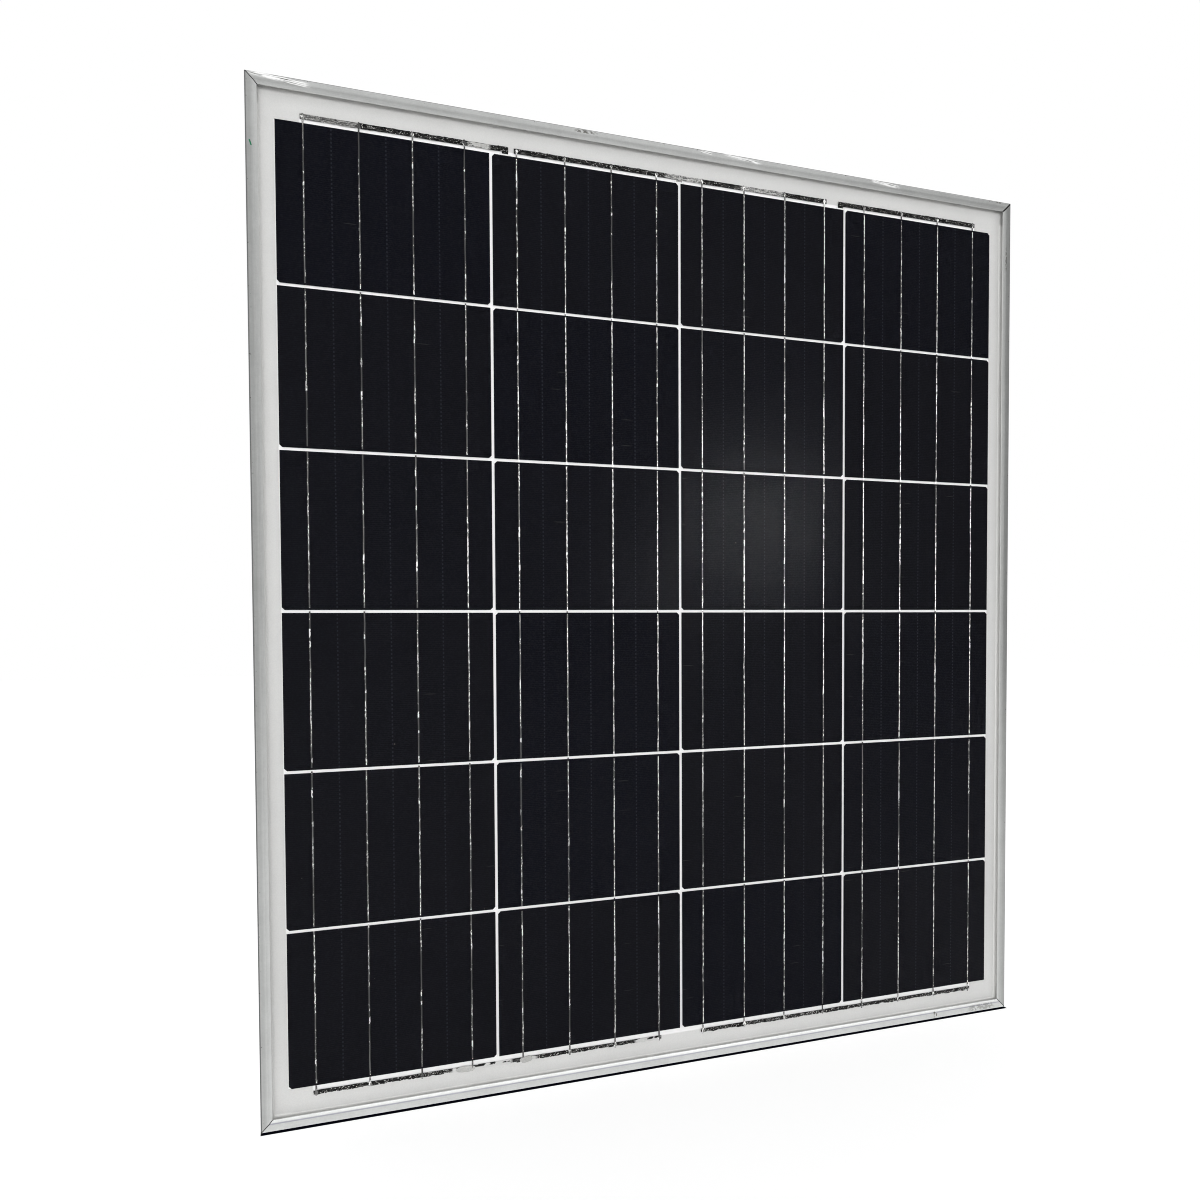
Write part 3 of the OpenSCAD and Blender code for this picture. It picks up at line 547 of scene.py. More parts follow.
# Near this height the painted glints are dimmer.
DIM_AT = ARRAY_LOW.z + 2 * PITCH_Z
DULL_DARK, DULL_PALE = (0.07, 0.07, 0.07), (0.24, 0.24, 0.23)
# Painted highlight and painted shadow on the ribbons' bends in the gaps.
BEND_LIGHT_PALE, BEND_SHADOW_DARK = (0.95, 0.95, 0.93), (0.07, 0.07, 0.07)
# Painted shade on the solder's rounded sides.
FLANK_SHADE_BLACK = (0.03, 0.03, 0.03)


def in_row_gap(tree, z):
    """1 in the narrow gaps between rows of cells, where the ribbons' bends lie."""
    past_cell = calc(tree, "GREATER_THAN", phase(tree, z, ARRAY_LOW.z, PITCH_Z), CELL_H)
    return times(tree, past_cell, calc(tree, "LESS_THAN", z, ARRAY_HIGH.z))


def bend_shadow(tree, place, z):
    """A mask of the painted shadow at the foot of some ribbons, where they bend down through a gap."""
    up = phase(tree, z, ARRAY_LOW.z, PITCH_Z)
    foot = ramp(tree, up, CELL_H + 0.75 * CELL_GAP, CELL_H + 0.35 * CELL_GAP)
    return times(tree, foot, ramp(tree, noise(tree, place, 12 * MM), 0.47, 0.55))


def tinned_finish(name, flank_shade_share):
    """Flank shade share is how dark the painted shade on the solder's rounded sides is."""
    finish, tree, shader, place = new_finish(name)
    x, _, z = split(tree, place)
    in_gap = in_row_gap(tree, z)
    short = noise(tree, place, 0.9 * MM, (1, 1, 2.4), 4)
    long = noise(tree, place, 28 * MM, (1, 1, 1.5))
    shine = calc(tree, "MULTIPLY_ADD", short, 0.75, times(tree, long, 0.45))
    # The glints are painted highlights: pale, less metallic spots, fewer towards the left.
    scarce = ramp(tree, x, ARRAY_LOW.x, GLINTS_FULL_AT, 0.05, 0.0)
    # Longer hot glints, also painted highlights.
    painted_hot_glint = ramp(tree, noise(tree, place, 5 * MM, (1, 1, 1.8)), 0.60, 0.63)
    painted_hot_glint = times(tree, painted_hot_glint, ramp(tree, short, 0.40, 0.50))
    glint = calc(tree, "MAXIMUM", ramp(tree, minus(tree, shine, scarce), 0.60, 0.67), in_gap)
    glint = calc(tree, "MAXIMUM", glint, painted_hot_glint)
    # Painted shade on the rounded sides, by the way that the surface faces.
    lean = calc(tree, "ABSOLUTE", facing(tree)[0])
    kept_pale = calc(tree, "MAXIMUM", in_gap, times(tree, painted_hot_glint, 0.6))
    flank_shade = times(tree, ramp(tree, lean, 0.05, 0.17, 0.0, flank_shade_share), minus(tree, 1.0, kept_pale))
    dull = blend(tree, ramp(tree, long, 0.35, 0.65), DULL_DARK, DULL_PALE)
    # How pale the painted glints are: a little paler to the left and dimmer near DIM_AT.
    glint_paleness = ramp(tree, x, ARRAY_LOW.x, GLINTS_FULL_AT, 0.98, 0.95)
    glint_paleness = times(tree, glint_paleness, ramp(tree, away(tree, z, DIM_AT), PITCH_Z, 0.8 * PITCH_Z, 1.0, 0.85))
    on_cell = times(tree, glint, minus(tree, 1.0, in_gap))
    colour = blend(tree, on_cell, dull, tinted(tree, glint_paleness, 1.0, 0.98))
    # In the gaps the bends are painted white, a painted highlight, and some get a painted shadow at the
    # foot.
    bend = blend(tree, bend_shadow(tree, place, z), BEND_LIGHT_PALE, BEND_SHADOW_DARK)
    colour = blend(tree, in_gap, colour, bend)
    colour = blend(tree, flank_shade, colour, FLANK_SHADE_BLACK)
    coat(tree, shader, colour, ramp(tree, glint, 0.0, 1.0, 0.40, 0.3), bumped(tree, short, 0.05 * MM))
    fill(tree, shader.inputs["Metallic"], ramp(tree, glint, 0.0, 1.0, 0.7, 0.1))
    return finish


strings = [f"ribbons_string_{c}" for c in range(1, COLUMNS + 1)]
tinned = tinned_finish("tinned_copper", 1.0)
dress(tinned, *strings)

# %% [markdown]
# ## Flecked buses
# The wide bus ribbons look black where they are smooth: that black is a painted reflection of the dark
# surroundings, which smooth solder mirrors. Where solder has frozen in flecks they are bright, partly from
# the flecks' own paleness and partly from painted glints. A few stretches stayed pale. They could be
# pieces of their own, but they have no edge to cut along, so a list of places and lengths fades them in
# and out.

# %% Bus finish
# Each pale stretch: its middle and half length in millimetres, and how pale it is
LIGHT_ON_TOP = ((-278, 20, 0.40), (-168, 8, 0.85), (4, 16, 0.80), (77, 20, 0.75))
LIGHT_ON_FOOT = ((-172, 24, 1.0), (-132, 5, 0.90), (-31, 11, 0.90))
LIGHT_FADE = 2
FOOT_LINE_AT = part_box("bus_bottom_left")[1].z - 1.6 * MM
FOOT_FRAY_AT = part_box("bus_bottom_left")[0].z + 0.7 * MM
FRAY_FADE = 0.2 * MM
# The black is a painted reflection of dark surroundings; the flecks' silver is partly painted glints.
DARK_REFLECTION_BLACK, STREAK_GREY = (0.003, 0.003, 0.003), (0.10, 0.10, 0.095)
FLECK_AND_GLINT_SILVER = (0.70, 0.70, 0.68)
DRAWN_GREY, DRAWN_SILVER = (0.10, 0.10, 0.10), (0.66, 0.66, 0.64)
BARE_PALE, BARE_BLACK = (0.68, 0.68, 0.67), (0.004, 0.004, 0.004)
FRAY_PALE = (0.72, 0.72, 0.71)


def light_stretches(tree, x, stretches):
    """A mask of the stretches of bus where the solder stayed pale."""
    mask = 0.0
    for middle, half, share in stretches:
        ends = ((half + LIGHT_FADE) * MM, (half - LIGHT_FADE) * MM)
        mask = calc(tree, "MAXIMUM", mask, ramp(tree, away(tree, x, middle * MM), *ends, 0.0, share))
    return mask


def bus_finish():
    """Black with pale flecks. On a pale stretch of the lower bus only a broken black line is left."""
    finish, tree, shader, place = new_finish("flecked_bus_solder")
    x, _, z = split(tree, place)
    on_top = calc(tree, "GREATER_THAN", z, PANEL_H / 2)
    streak = noise(tree, place, 0.5 * MM, (10, 1, 1), 3)
    fleck = noise(tree, place, 0.7 * MM, (1.5, 1, 0.9), 3)
    broken = noise(tree, place, 3 * MM, (2, 1, 1), 3)
    below, above = [light_stretches(tree, x, row) for row in (LIGHT_ON_FOOT, LIGHT_ON_TOP)]
    pale = split(tree, blend(tree, on_top, below, above))[0]
    # The dark ground is a painted reflection, and the flecks on it are partly painted glints.
    dark = blend(tree, ramp(tree, streak, 0.53, 0.69), DARK_REFLECTION_BLACK, STREAK_GREY)
    needed = ramp(tree, on_top, 0.0, 1.0, 0.60, 0.63)
    bright = ramp(tree, minus(tree, fleck, needed), 0.0, 0.05)
    dark = blend(tree, bright, dark, FLECK_AND_GLINT_SILVER)
    drawn = calc(tree, "MULTIPLY_ADD", streak, 0.6, times(tree, fleck, 0.4))
    light = blend(tree, ramp(tree, drawn, 0.40, 0.58), DRAWN_GREY, DRAWN_SILVER)
    upper = ramp(tree, z, FOOT_LINE_AT - 0.5 * MM, FOOT_LINE_AT + 0.2 * MM)
    ink = times(tree, upper, ramp(tree, broken, 0.46, 0.50))
    light = blend(tree, on_top, blend(tree, ink, BARE_PALE, BARE_BLACK), light)
    colour = blend(tree, pale, dark, light)
    height = calc(tree, "MULTIPLY_ADD", minus(tree, broken, 0.5), 3 * MM, z)
    frayed = ramp(tree, height, FOOT_FRAY_AT + FRAY_FADE, FOOT_FRAY_AT - FRAY_FADE)
    frayed = times(tree, frayed, minus(tree, 1.0, on_top))
    colour = blend(tree, frayed, colour, FRAY_PALE)
    coat(tree, shader, colour, ramp(tree, fleck, 0.3, 0.7, 0.38, 0.48), bumped(tree, fleck, 0.04 * MM))
    shader.inputs["Specular IOR Level"].default_value = 0.12
    return finish


buses = ("bus_top_left", "bus_top_middle", "bus_top_right", "bus_bottom_left", "bus_bottom_right")
flecked = bus_finish()
dress(flecked, *buses)

# %% [markdown]
# ## Backsheet
# Behind the cells is a white film. In the narrow gaps between cells it is painted brighter than in the open
# margin, a painted light. In the margin there is painted light towards the foot, painted light and shade
# towards the right, painted shade close to the rails' lips, and painted light under the lips, against
# their shadow. On the back the wafers press through as faint rectangles. One white would miss all of that,
# so the tree asks how far a point lies past the cells and buses, how near it is to a lip, and which way it
# faces.

# %% Backsheet finish
# Painted shade close to the rails' lips, and painted light under them, towards the foot and at the right.
LIP_PAINTED_SHADE = 0.94
LIP_SHADE_W = 8 * MM
RIGHT_LIFT, RIGHT_FOOT_LIFT = 0.97, 1.05
UNDER_LIP_PAINTED_LIGHT, UNDER_FOOT_PAINTED_LIGHT = 1.4, 1.6
FOOT_LIFT_BETWEEN = (200 * MM, 600 * MM)
SIDE_FADE = 5 * MM
LEFT_REACH, REACH = 1.6 * MM, 0.4 * MM
BUS_LOW, BUS_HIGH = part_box("bus_bottom_left")[1].z, ARRAY_HIGH.z + 2.8 * MM
BUS_INSET = RIBBON_EDGE - 2 * MM
# Painted light: the film in the gaps between cells is painted whiter than in the margin.
GAP_LIGHT_WHITE = (0.98, 0.98, 0.98)
REAR_GREY, REAR_WHITE = (0.86, 0.86, 0.86), (0.90, 0.90, 0.90)
PRESSED = 8.0


def near_middle(tree, value, start, pitch, size, soft):
    """1 on every band of that size that starts a new pitch, and 0 between the bands."""
    off = away(tree, phase(tree, value, start, pitch), size / 2)
    return ramp(tree, off, size / 2, size / 2 - soft)


def outside_of(tree, value, low, high):
    """How far a value lies below low or above high."""
    return calc(tree, "MAXIMUM", minus(tree, low, value), minus(tree, value, high))


def past_cells(tree, x, z):
    """How far a point lies beyond the cells and the buses. It is below 0 among them."""
    beside = minus(tree, calc(tree, "ABSOLUTE", x), ARRAY_HIGH.x)
    off_cells = outside_of(tree, z, ARRAY_LOW.z, ARRAY_HIGH.z)
    beside = calc(tree, "ADD", beside, ramp(tree, off_cells, -0.2 * MM, 0.5 * MM, 0.0, BUS_INSET))
    return calc(tree, "MAXIMUM", beside, outside_of(tree, z, BUS_LOW, BUS_HIGH))


def margin_light_and_shade(tree, x, z, soft, weave):
    """The margin's paleness, with painted light and shade by the foot, the right and the rails' lips."""
    from_side = minus(tree, PANEL_W / 2 - LIP_W, calc(tree, "ABSOLUTE", x))
    from_end = minus(tree, PANEL_H / 2 - LIP_W, away(tree, z, PANEL_H / 2))
    from_lip = calc(tree, "MINIMUM", from_side, from_end)
    right_lift = ramp(tree, z, *FOOT_LIFT_BETWEEN, RIGHT_FOOT_LIFT, RIGHT_LIFT)
    pale = ramp(tree, soft, 0.0, 1.0, 0.65, 0.69)
    # Painted light to the foot; weave; painted shade by the lips; painted light and shade to the right.
    for factor in (ramp(tree, z, 0.0, 120 * MM, 1.13, 1.0),
                   ramp(tree, weave, 0.35, 0.65, 1.0, 0.96),
                   ramp(tree, from_lip, LIP_SHADE_W, 0.0, 1.0, LIP_PAINTED_SHADE),
                   ramp(tree, x, ARRAY_HIGH.x, PANEL_W / 2 - LIP_W, 1.0, right_lift)):
        pale = times(tree, pale, factor)
    # Painted light under the lips but the top one, against their shadow; it reaches further out on the
    # left.
    reach = ramp(tree, x, ARRAY_LOW.x - 3 * MM, ARRAY_LOW.x + SIDE_FADE, LEFT_REACH, REACH)
    low_lift = ramp(tree, z, *FOOT_LIFT_BETWEEN, UNDER_FOOT_PAINTED_LIGHT - 1, UNDER_LIP_PAINTED_LIGHT - 1)
    lift = ramp(tree, x, ARRAY_HIGH.x, ARRAY_HIGH.x + SIDE_FADE, UNDER_LIP_PAINTED_LIGHT - 1, low_lift)
    below_top = ramp(tree, z, PANEL_H - 2 * LIP_W, PANEL_H - 2.5 * LIP_W)
    under_lip = times(tree, ramp(tree, from_lip, reach, -0.6 * MM, 0.0, lift), below_top)
    return calc(tree, "MINIMUM", calc(tree, "MULTIPLY_ADD", pale, under_lip, pale), 0.98)


def backsheet_finish():
    finish, tree, shader, place = new_finish("white_backsheet_film")
    x, _, z = split(tree, place)
    soft = noise(tree, place, 40 * MM, detail=3)
    weave = noise(tree, place, 0.8 * MM)
    beyond = past_cells(tree, x, z)
    margin = tinted(tree, margin_light_and_shade(tree, x, z, soft, weave), 1.0, 0.985)
    # The gaps are painted whiter than the margin: painted light.
    colour = blend(tree, ramp(tree, beyond, -0.3 * MM, 1.2 * MM), GAP_LIGHT_WHITE, margin)
    rear = ramp(tree, facing(tree)[1], 0.0, 0.5)
    colour = blend(tree, rear, colour, blend(tree, soft, REAR_GREY, REAR_WHITE))
    wafer = times(tree, near_middle(tree, x, ARRAY_LOW.x, PITCH_X, CELL_W, 2 * MM),
                  near_middle(tree, z, ARRAY_LOW.z, PITCH_Z, CELL_H, 2 * MM))
    wafer = times(tree, wafer, ramp(tree, beyond, 0.5 * MM, -1 * MM))
    pressed = calc(tree, "MULTIPLY_ADD", wafer, PRESSED, weave)
    coat(tree, shader, colour, ramp(tree, weave, 0.2, 0.8, 0.5, 0.6), bumped(tree, pressed, 0.02 * MM))
    return finish


dress(backsheet_finish(), "backsheet")

# %% [markdown]
# ## Modelling by hand, in code
# The soldering is done by hand on the real panel, so no two ribbons or joints are alike, and the straight
# solids stand for it only in size. The next cells model it. Each piece starts as a primitive, and its
# points are picked by their place and moved. Modifiers then repeat it, thicken it and ruffle it, so these
# few helpers come first. The ruffle reads each point's own place, and so every copy comes out different.

# %% Helpers for modelling
SMOOTH_BELOW = math.radians(50)


def start_strip(name, centre, width, height, across, along):
    """A flat grid that faces the glass, with that many faces across and along."""
    bpy.ops.object.select_all(action="DESELECT")
    bpy.ops.mesh.primitive_grid_add(x_subdivisions=across, y_subdivisions=along, size=1, location=centre,
                                    rotation=(math.pi / 2, 0, 0))
    strip = bpy.context.object
    strip.name = name
    strip.scale = (width, height, 1)
    bpy.ops.object.transform_apply(location=True, rotation=True, scale=True)
    return strip


def pick(piece, test):
    """Leaves the piece in edit mode, with the points selected for which the test is true."""
    bpy.ops.object.mode_set(mode="EDIT")
    bpy.ops.mesh.select_mode(type="VERT")
    bpy.ops.mesh.select_all(action="DESELECT")
    bpy.ops.object.mode_set(mode="OBJECT")
    for point in piece.data.vertices:
        point.select = test(point.co)
    bpy.ops.object.mode_set(mode="EDIT")


def move(piece, test, way):
    pick(piece, test)
    bpy.ops.transform.translate(value=way)
    bpy.ops.object.mode_set(mode="OBJECT")


def cut_across(piece, height):
    """Adds a row of edges all round the piece at that height."""
    pick(piece, lambda point: True)
    bpy.ops.mesh.bisect(plane_co=(0, 0, height), plane_no=(0, 0, 1))
    bpy.ops.object.mode_set(mode="OBJECT")


def apply_modifier(piece, kind, **settings):
    bpy.context.view_layer.objects.active = piece
    bpy.ops.object.modifier_add(type=kind)
    modifier = piece.modifiers[-1]
    for name, value in settings.items():
        setattr(modifier, name, value)
    bpy.ops.object.modifier_apply(modifier=modifier.name)


def repeat(piece, count, step):
    apply_modifier(piece, "ARRAY", count=count, use_relative_offset=False, use_constant_offset=True,
                   constant_offset_displace=step)


def ruffle(piece, *passes):
    """Moves the points by cloudy amounts. Each pass has its axis, and height and grain in millimetres."""
    for way, height, grain in passes:
        cloud = bpy.data.textures.new(piece.name + "_cloud", "CLOUDS")
        cloud.noise_scale = grain * MM
        apply_modifier(piece, "DISPLACE", texture=cloud, texture_coords="LOCAL", direction=way,
                       strength=height * MM)


def join(main, *others):
    bpy.ops.object.select_all(action="DESELECT")
    for piece in (main, *others):
        piece.select_set(True)
    bpy.context.view_layer.objects.active = main
    bpy.ops.object.join()


def finish_piece(piece, finish):
    """Smooths the piece, gives it its finish and lets it ride on the panel."""
    bpy.ops.object.select_all(action="DESELECT")
    piece.select_set(True)
    bpy.context.view_layer.objects.active = piece
    bpy.ops.object.shade_smooth_by_angle(angle=SMOOTH_BELOW)
    piece.data.materials.clear()
    piece.data.materials.append(finish)
    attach(piece, "panel")
    print(piece.name, len(piece.data.polygons), "faces")


def ribbon_x(column):
    """The middle of the first ribbon of a string."""
    return ARRAY_LOW.x + column * PITCH_X + RIBBON_EDGE


# %% [markdown]
# ## Tabbing ribbons
# A tabbing ribbon is a copper strip dipped in solder and cut to the length of two cells. It lies on the
# front of one, goes down through the gap and carries on behind the next. Its solder is thicker in the
# middle, and it wanders a little, because it was laid by hand. A curve with a bevel could follow that path,
# but a flat grid is easier to bend in one place: two cuts mark the gap, and everything past them moves
# back. Ribbons at the ends of a string run straight on to the bus instead.

# %% Bent and straight ribbons
RIBBON_INSET = 1.5 * MM
CROWN = 0.12 * MM
TIP_CUT = 0.5 * MM
STEP_ALONG = 3 * MM
SLACK = 0.01 * MM
RIBBON_RUFFLE = (("X", 0.55, 14), ("Y", 0.05, 5))


def ribbon_strip(column, low, high, depth):
    centre = (ribbon_x(column), depth, (low + high) / 2)
    return start_strip("ribbon", centre, RIBBON_W, high - low, 2, round((high - low) / STEP_ALONG))


def bent_ribbon(column, up):
    """The top ribbon of a string: from the front of one cell to the back of the next one up, or down."""
    upper = ARRAY_HIGH.z - CELL_H
    lower = upper - CELL_GAP
    strip = ribbon_strip(column, lower - CELL_H + RIBBON_INSET, ARRAY_HIGH.z - RIBBON_INSET, RIBBON_FRONT)
    for height in (lower, upper):
        cut_across(strip, height)

    def behind(point):
        return point.z > upper - SLACK if up else point.z < lower + SLACK

    move(strip, behind, (0, CELL_BACK - RIBBON_FRONT, 0))
    repeat(strip, ROWS - 1, (0, 0, -PITCH_Z))
    return strip


def end_ribbons(column, up):
    """The straight ribbons to the two buses. On a string that runs up, the upper one is in front."""
    top, foot = (RIBBON_FRONT, CELL_BACK) if up else (CELL_BACK, RIBBON_FRONT)
    to_top = ribbon_strip(column, ARRAY_HIGH.z - CELL_H + RIBBON_INSET, ribbon_high.z - TIP_CUT, top)
    to_foot = ribbon_strip(column, ribbon_low.z + TIP_CUT, ARRAY_LOW.z + CELL_H - RIBBON_INSET, foot)
    return to_top, to_foot


ribbon_pieces = []
for column in range(COLUMNS):
    up = column % 2 == 0
    ribbons = bent_ribbon(column, up)
    join(ribbons, *end_ribbons(column, up))
    ribbons.name = f"soldered_ribbons_{column + 1}"
    middle_x = ribbon_x(column)
    move(ribbons, lambda point: abs(point.x - middle_x) > 0.3 * RIBBON_W, (0, CROWN, 0))
    repeat(ribbons, RIBBONS, (RIBBON_PITCH, 0, 0))
    apply_modifier(ribbons, "SOLIDIFY", thickness=RIBBON_T, offset=-1)
    ruffle(ribbons, *RIBBON_RUFFLE)
    finish_piece(ribbons, tinned)
    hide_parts(strings[column])
    ribbon_pieces.append(ribbons)

# %% [markdown]
# ## Solder on the buses
# The bus ribbons are tinned by dragging a hot iron along them. That leaves a lumpy skin with a ragged edge,
# a bright blob wherever a ribbon is soldered on, and a few dull smears of flux. The skin is a strip like
# the ribbons, the blob a flattened sphere with a tail towards the cells, and a smear a wide, thin blob.

# %% Bus skins
SKIN_T = 0.08 * MM
SKIN_STEP = 1.5 * MM
SKIN_RUFFLE = (("Z", 0.9, 12), ("Z", 0.8, 2.5), ("Y", 0.06, 4))


def bus_bar(name):
    """The span of a bus along x and z, leaving out the lead behind it."""
    points = [point.co for point in nodes[name].data.vertices if point.co.y < CELL_FRONT + SLACK]
    return [(min(values), max(values)) for values in ([p.x for p in points], [p.z for p in points])]


for name in buses:
    (left, right), (low, high) = bus_bar(name)
    centre = ((left + right) / 2, CELL_FRONT - SKIN_T, (low + high) / 2)
    steps = round((right - left) / SKIN_STEP)
    skin = start_strip("solder_on_" + name, centre, right - left, high - low, steps, 3)
    apply_modifier(skin, "SOLIDIFY", thickness=SKIN_T, offset=-1)
    ruffle(skin, *SKIN_RUFFLE)
    finish_piece(skin, flecked)

# %% Solder joints
JOINT_W, JOINT_H, JOINT_T = 2.6 * MM, 2.6 * MM, 0.5 * MM
JOINT_TAIL = 1.6 * MM
JOINT_Y = RIBBON_FRONT + 0.05 * MM
TAIL_SQUEEZE = (0.55, 0.8, 1)
JOINT_RUFFLE = (("X", 0.9, 2.5), ("Z", 0.9, 3))
# The joints take the ribbons' painted glints, without the painted shade on the sides.
joint_solder = tinned_finish("joint_solder", 0.0)


def blob(name, place, width, height):
    bpy.ops.object.select_all(action="DESELECT")
    bpy.ops.mesh.primitive_uv_sphere_add(segments=12, ring_count=8, radius=0.5, location=place)
    made = bpy.context.object
    made.name = name
    made.scale = (width, JOINT_T, height)
    bpy.ops.object.transform_apply(location=True, rotation=True, scale=True)
    return made


def solder_joints(name, height, tail):
    """Sixteen blobs along a row of buses, each drawn out along its ribbon."""
    place = (ribbon_x(0), JOINT_Y, height)
    joints = blob(name, place, JOINT_W, JOINT_H)

    def far(point):
        return (point.z - height) * math.copysign(1, tail) > 0.25 * JOINT_H

    move(joints, far, (0, 0, tail))
    pick(joints, far)
    bpy.ops.transform.resize(value=TAIL_SQUEEZE, center_override=place)
    bpy.ops.object.mode_set(mode="OBJECT")
    repeat(joints, RIBBONS, (RIBBON_PITCH, 0, 0))
    repeat(joints, COLUMNS, (PITCH_X, 0, 0))
    ruffle(joints, *JOINT_RUFFLE)
    finish_piece(joints, joint_solder)
    return joints


TOP_Z = sum(bus_bar("bus_top_left")[1]) / 2
FOOT_Z = sum(bus_bar("bus_bottom_left")[1]) / 2
ribbon_pieces.append(solder_joints("solder_joints_top", TOP_Z, -JOINT_TAIL))
ribbon_pieces.append(solder_joints("solder_joints_bottom", FOOT_Z, JOINT_TAIL))

# %% Flux smears
# Each smear: its place along the bus in millimetres, the bus's middle, and its width and height
SMEARS = ((-168, TOP_Z, 11, 2.6), (-185, FOOT_Z, 15, 5.0), (-136, FOOT_Z, 11, 5.0))
SMEAR_RUFFLE = (("X", 3, 4), ("Z", 1.6, 2.5))
smears = [blob("flux_smears", (along * MM, RIBBON_FRONT, middle_z), width * MM, height * MM)
          for along, middle_z, width, height in SMEARS]
join(*smears)
ruffle(smears[0], *SMEAR_RUFFLE)
flux = plain_finish("flux_residue", (0.42, 0.42, 0.41), (0.64, 0.64, 0.62), 0.5, 1.2 * MM, 0.05 * MM)
finish_piece(smears[0], flux)

# %% [markdown]
# ## Small finishes
# The junction box, its seals, screws and terminals, the corner keys and the glue are each one plain stuff
# with a little life in it: a moulded grain, a rubbery bloom, a zinc cloud. One function covers them, with
# two colours to drift between, a grain size and a bump, so a list of the stuffs is all that is left to say.

# %% Plain finishes
keys = [f"corner_key_{end}_{side}" for end in ("top", "bottom") for side in ("left", "right")]
mouldings = ("junction_box_base", "junction_box_lid", "cable_glands", "gland_nuts")
rubbers = ("lid_gasket", "gland_seals")
# Each stuff: dark and light colour, roughness, grain and bump in millimetres, how metallic, and its pieces
STUFFS = {
    "mill_aluminium": ((0.50, 0.50, 0.51), (0.62, 0.62, 0.63), 0.4, 0.6, 0.02, 1.0, keys),
    "pale_sealant": ((0.82, 0.82, 0.81), (0.88, 0.88, 0.87), 0.6, 0.8, 0.03, 0.0, ["edge_seal"]),
    "white_insulating_film": ((0.78, 0.78, 0.77), (0.84,) * 3, 0.45, 1, 0.01, 0.0, ["lead_insulators"]),
    "moulded_black_plastic": ((0.016, 0.016, 0.017), (0.030, 0.030, 0.032), 0.5, 0.5, 0.03, 0.0, mouldings),
    "black_rubber_bloom": ((0.012, 0.012, 0.012), (0.028, 0.028, 0.028), 0.75, 0.6, 0.02, 0.0, rubbers),
    "zinc_plate": ((0.52, 0.53, 0.55), (0.68, 0.68, 0.67), 0.3, 0.5, 0.01, 1.0, ["lid_screws"]),
    "tinned_brass": ((0.58, 0.54, 0.42), (0.74, 0.71, 0.62), 0.3, 0.7, 0.01, 1.0, ["terminal_clips"]),
    "black_epoxy": ((0.018, 0.018, 0.019), (0.032, 0.032, 0.032), 0.45, 0.4, 0.02, 0.0, ["bypass_diodes"]),
    "silicone_bead": ((0.66, 0.66, 0.65), (0.76, 0.76, 0.75), 0.5, 1.2, 0.05, 0.0, ["box_adhesive"]),
}
for name, (dark, light, roughness, grain, depth, metallic, pieces) in STUFFS.items():
    dress(plain_finish(name, dark, light, roughness, grain * MM, depth * MM, metallic), *pieces)

# %% [markdown]
# ## Floor
# The panel stands on a plain white floor with no horizon. To a direct look, or in a reflection, the floor
# is white, and a little of it stays a real surface so that the panel's shadow shows. Under the bottom rail
# no light gets in, and that black seam shows as a thin line in front of the rail. Sampled light would leave
# it soft and grainy, so the floor's colour draws it, at one width all along the rail.

# %% Floor and room
FLOOR_SIDE = 12.0
CONTACT_W, CONTACT_FADE = 3.0 * MM, 0.4 * MM
CONTACT_BLACK = (0.002, 0.002, 0.006)
FLOOR_SEEN, FLOOR_LIT = (0.5, 0.5, 0.5), (0.8, 0.8, 0.8)
FLOOR_GLOW = 0.74
AMBIENT = 0.62
WHITE = (1, 1, 1)


def seen_directly(tree):
    """1 for rays from the camera, from a mirror or through glass, and 0 for light that is only gathered."""
    path = put(tree, "LightPath").outputs
    first = calc(tree, "MAXIMUM", path["Is Camera Ray"], path["Is Glossy Ray"])
    return calc(tree, "MAXIMUM", first, path["Is Transmission Ray"])


def floor_finish():
    """Gathered light meets a plain pale floor, and a direct look a glowing one with the black seam."""
    finish, tree, shader, place = new_finish("white_floor")
    tree.nodes.remove(shader)
    x, y, _ = split(tree, place)
    beside = minus(tree, calc(tree, "ABSOLUTE", x), PANEL_W / 2 - CONTACT_W)
    off_rail = calc(tree, "MAXIMUM", outside_of(tree, y, FRONT_Y, panel_high.y), beside)
    clear = ramp(tree, off_rail, CONTACT_W - CONTACT_FADE, CONTACT_W + CONTACT_FADE)
    open_floor = calc(tree, "MAXIMUM", clear, put(tree, "LightPath").outputs["Is Glossy Ray"])
    lit = put(tree, "BsdfDiffuse", {"Color": FLOOR_LIT})
    shown = put(tree, "BsdfDiffuse", {"Color": blend(tree, open_floor, CONTACT_BLACK, FLOOR_SEEN)})
    glow = put(tree, "Emission", {"Color": WHITE, "Strength": times(tree, open_floor, FLOOR_GLOW)})
    floor_seen = put(tree, "AddShader", {0: shown.outputs[0], 1: glow.outputs[0]})
    shares = {0: seen_directly(tree), 1: lit.outputs[0], 2: floor_seen.outputs[0]}
    show(tree, put(tree, "MixShader", shares))
    return finish


bpy.ops.object.select_all(action="DESELECT")
bpy.ops.mesh.primitive_plane_add(size=FLOOR_SIDE, location=(0, 0, panel_low.z))
floor = bpy.context.object
floor.name = "floor"
floor.data.materials.append(floor_finish())

world = bpy.data.worlds.new("white_room")
bpy.context.scene.world = world
world.use_nodes = True
sky = world.node_tree
room = sky.nodes["Background"]
fill(sky, room.inputs["Color"], WHITE)
fill(sky, room.inputs["Strength"], calc(sky, "MULTIPLY_ADD", seen_directly(sky), 1 - AMBIENT, AMBIENT))
print("floor and room made")

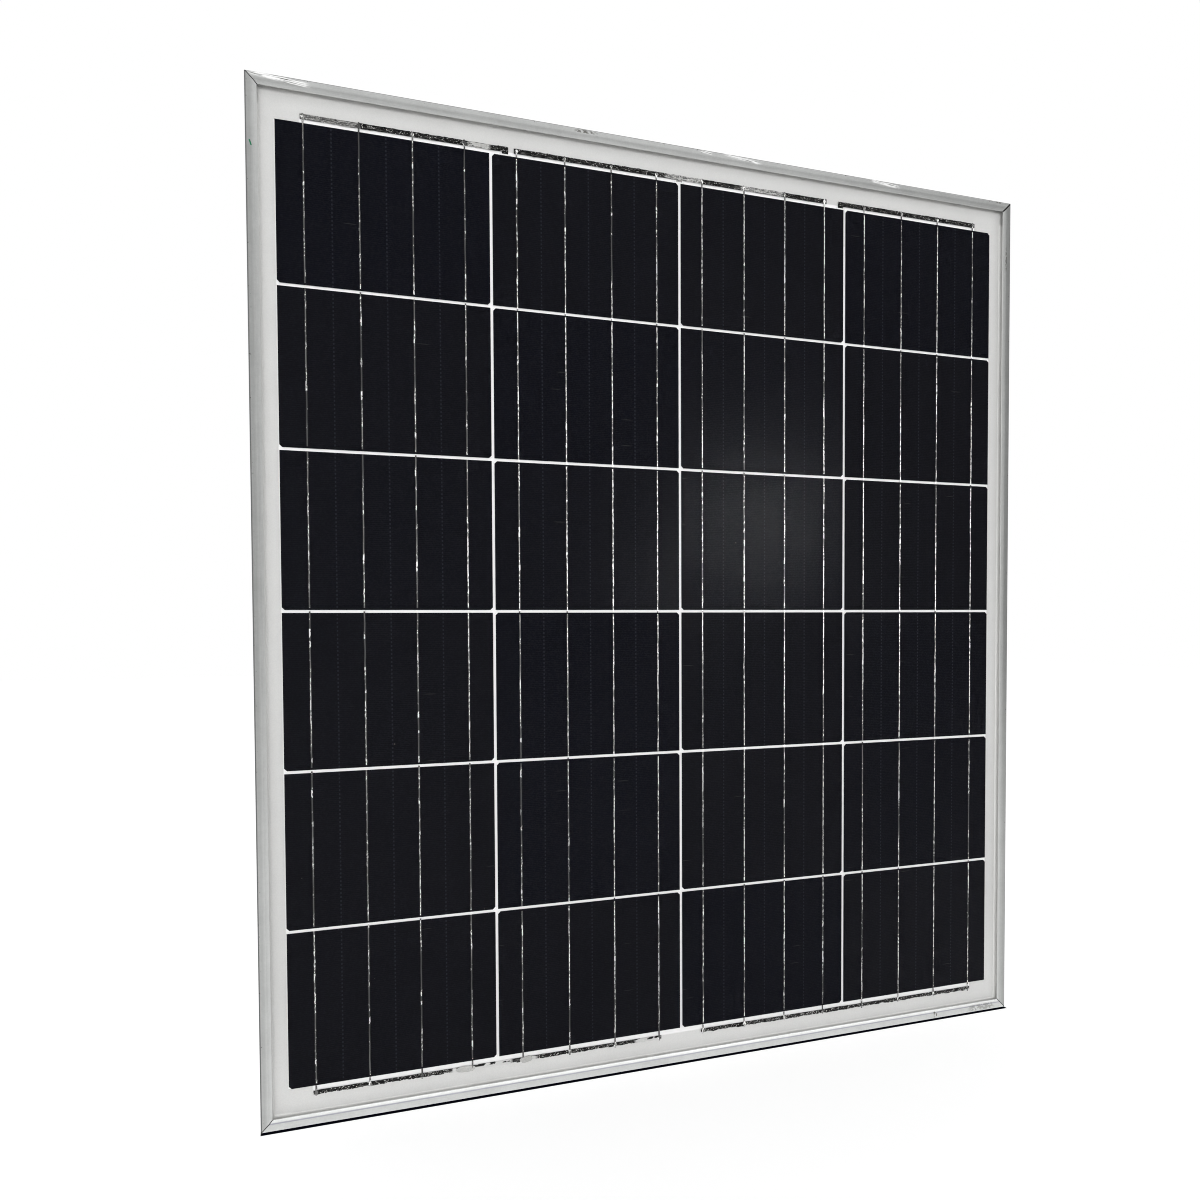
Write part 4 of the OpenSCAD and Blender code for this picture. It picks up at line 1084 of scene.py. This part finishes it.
# %% [markdown]
# ## Cards and lamps
# Bare metal shows what stands round it. In an all-white room the frame would be one flat tone, so grey
# cards stand in front of the panel as they do in a studio: only reflections see them. A wide softbox behind
# the camera lights the whole front evenly, and another one behind the panel lights the backsheet and the
# junction box. A strip lamp draws the bright line on the bottom rail's bevel. A small lamp to the right is
# the one that the cells answer with a soft grey glow: it stands where the mirror image of the camera's line
# of sight leads, and a larger one in the same place makes the ribbons glint. Every lamp but the front
# softbox is linked to the pieces that it is meant for, so that it leaves no hot spot on the others.

# %% Cards
def grey_card(name, place, width, height, turn, strength):
    """An upright card, seen only in reflections. Turn is in degrees, and 0 is square to the panel."""
    bpy.ops.object.select_all(action="DESELECT")
    upright = (math.pi / 2, 0, math.radians(turn))
    bpy.ops.mesh.primitive_plane_add(size=1, location=place, rotation=upright)
    card = bpy.context.object
    card.name = name
    card.scale = (width, height, 1)
    finish, tree, shader, _ = new_finish(name + "_paper")
    tree.nodes.remove(shader)
    show(tree, put(tree, "Emission", {"Color": WHITE, "Strength": strength}))
    card.data.materials.append(finish)
    card.visible_camera = False
    card.visible_diffuse = False
    card.visible_transmission = False
    card.visible_shadow = False
    print("card:", name)


grey_card("front_card", place=(-0.75, -2.0, 1.2), width=2.7, height=2.4, turn=0, strength=0.48)
grey_card("middle_card", place=(0.95, -2.0, 1.2), width=0.7, height=2.4, turn=0, strength=0.64)
grey_card("right_card", place=(2.2, -1.45, 1.2), width=2.2, height=2.4, turn=40, strength=0.30)

# %% Lamps
GLOW_ON_GLASS = Vector((62, -13, 436)) * MM
GLOW_LAMP_AWAY = 2.0


def soft_lamp(name, place, target, size, power, only_on=(), gloss_only=False):
    """A round area lamp. One that is linked to pieces shows in their gloss, and others show in none."""
    data = bpy.data.lights.new(name, "AREA")
    data.shape = "DISK"
    data.size = size
    data.energy = power
    lamp = bpy.data.objects.new(name, data)
    lamp.location = place
    lamp.rotation_euler = (Vector(target) - Vector(place)).to_track_quat("-Z", "Y").to_euler()
    lamp.visible_camera = False
    lamp.visible_glossy = bool(only_on)
    lamp.visible_diffuse = not gloss_only
    if only_on:
        lit = bpy.data.collections.new(name + "_pieces")
        for piece in only_on:
            lit.objects.link(piece)
        lamp.light_linking.receiver_collection = lit
    bpy.context.scene.collection.objects.link(lamp)
    return lamp


def named_nodes(*names):
    return [nodes[name] for name in names]


sight = (GLOW_ON_GLASS - EYE).normalized()
mirrored = Vector((sight.x, -sight.y, sight.z))
glow_from = GLOW_ON_GLASS + mirrored * GLOW_LAMP_AWAY
middle = Vector((0, 0, PANEL_H / 2))
soft_lamp("glow_lamp", glow_from, GLOW_ON_GLASS, size=0.25, power=7,
          only_on=named_nodes(*cells, "front_glass"), gloss_only=True)
soft_lamp("glint_lamp", glow_from, GLOW_ON_GLASS, size=0.5, power=28,
          only_on=ribbon_pieces, gloss_only=True)
bevel_lamp = soft_lamp("bevel_lamp", (0.5, -1.6, 0.42), (0, 0, 0), size=2.4, power=5,
                       only_on=named_nodes("frame_rail_bottom"), gloss_only=True)
bevel_lamp.data.shape = "RECTANGLE"
bevel_lamp.data.size_y = 0.3
soft_lamp("front_softbox", (-0.7, -3.4, 0.35), middle, size=2.2, power=81)
soft_lamp("rear_softbox", (0.9, 3.2, 1.1), middle, size=1.6, power=26,
          only_on=named_nodes("backsheet", *mouldings, "terminal_clips", "bypass_diodes"))

# %% [markdown]
# ## Finish
# Colours stay as they are written with the Standard view.

# %% Set the view
bpy.context.scene.view_settings.view_transform = "Standard"
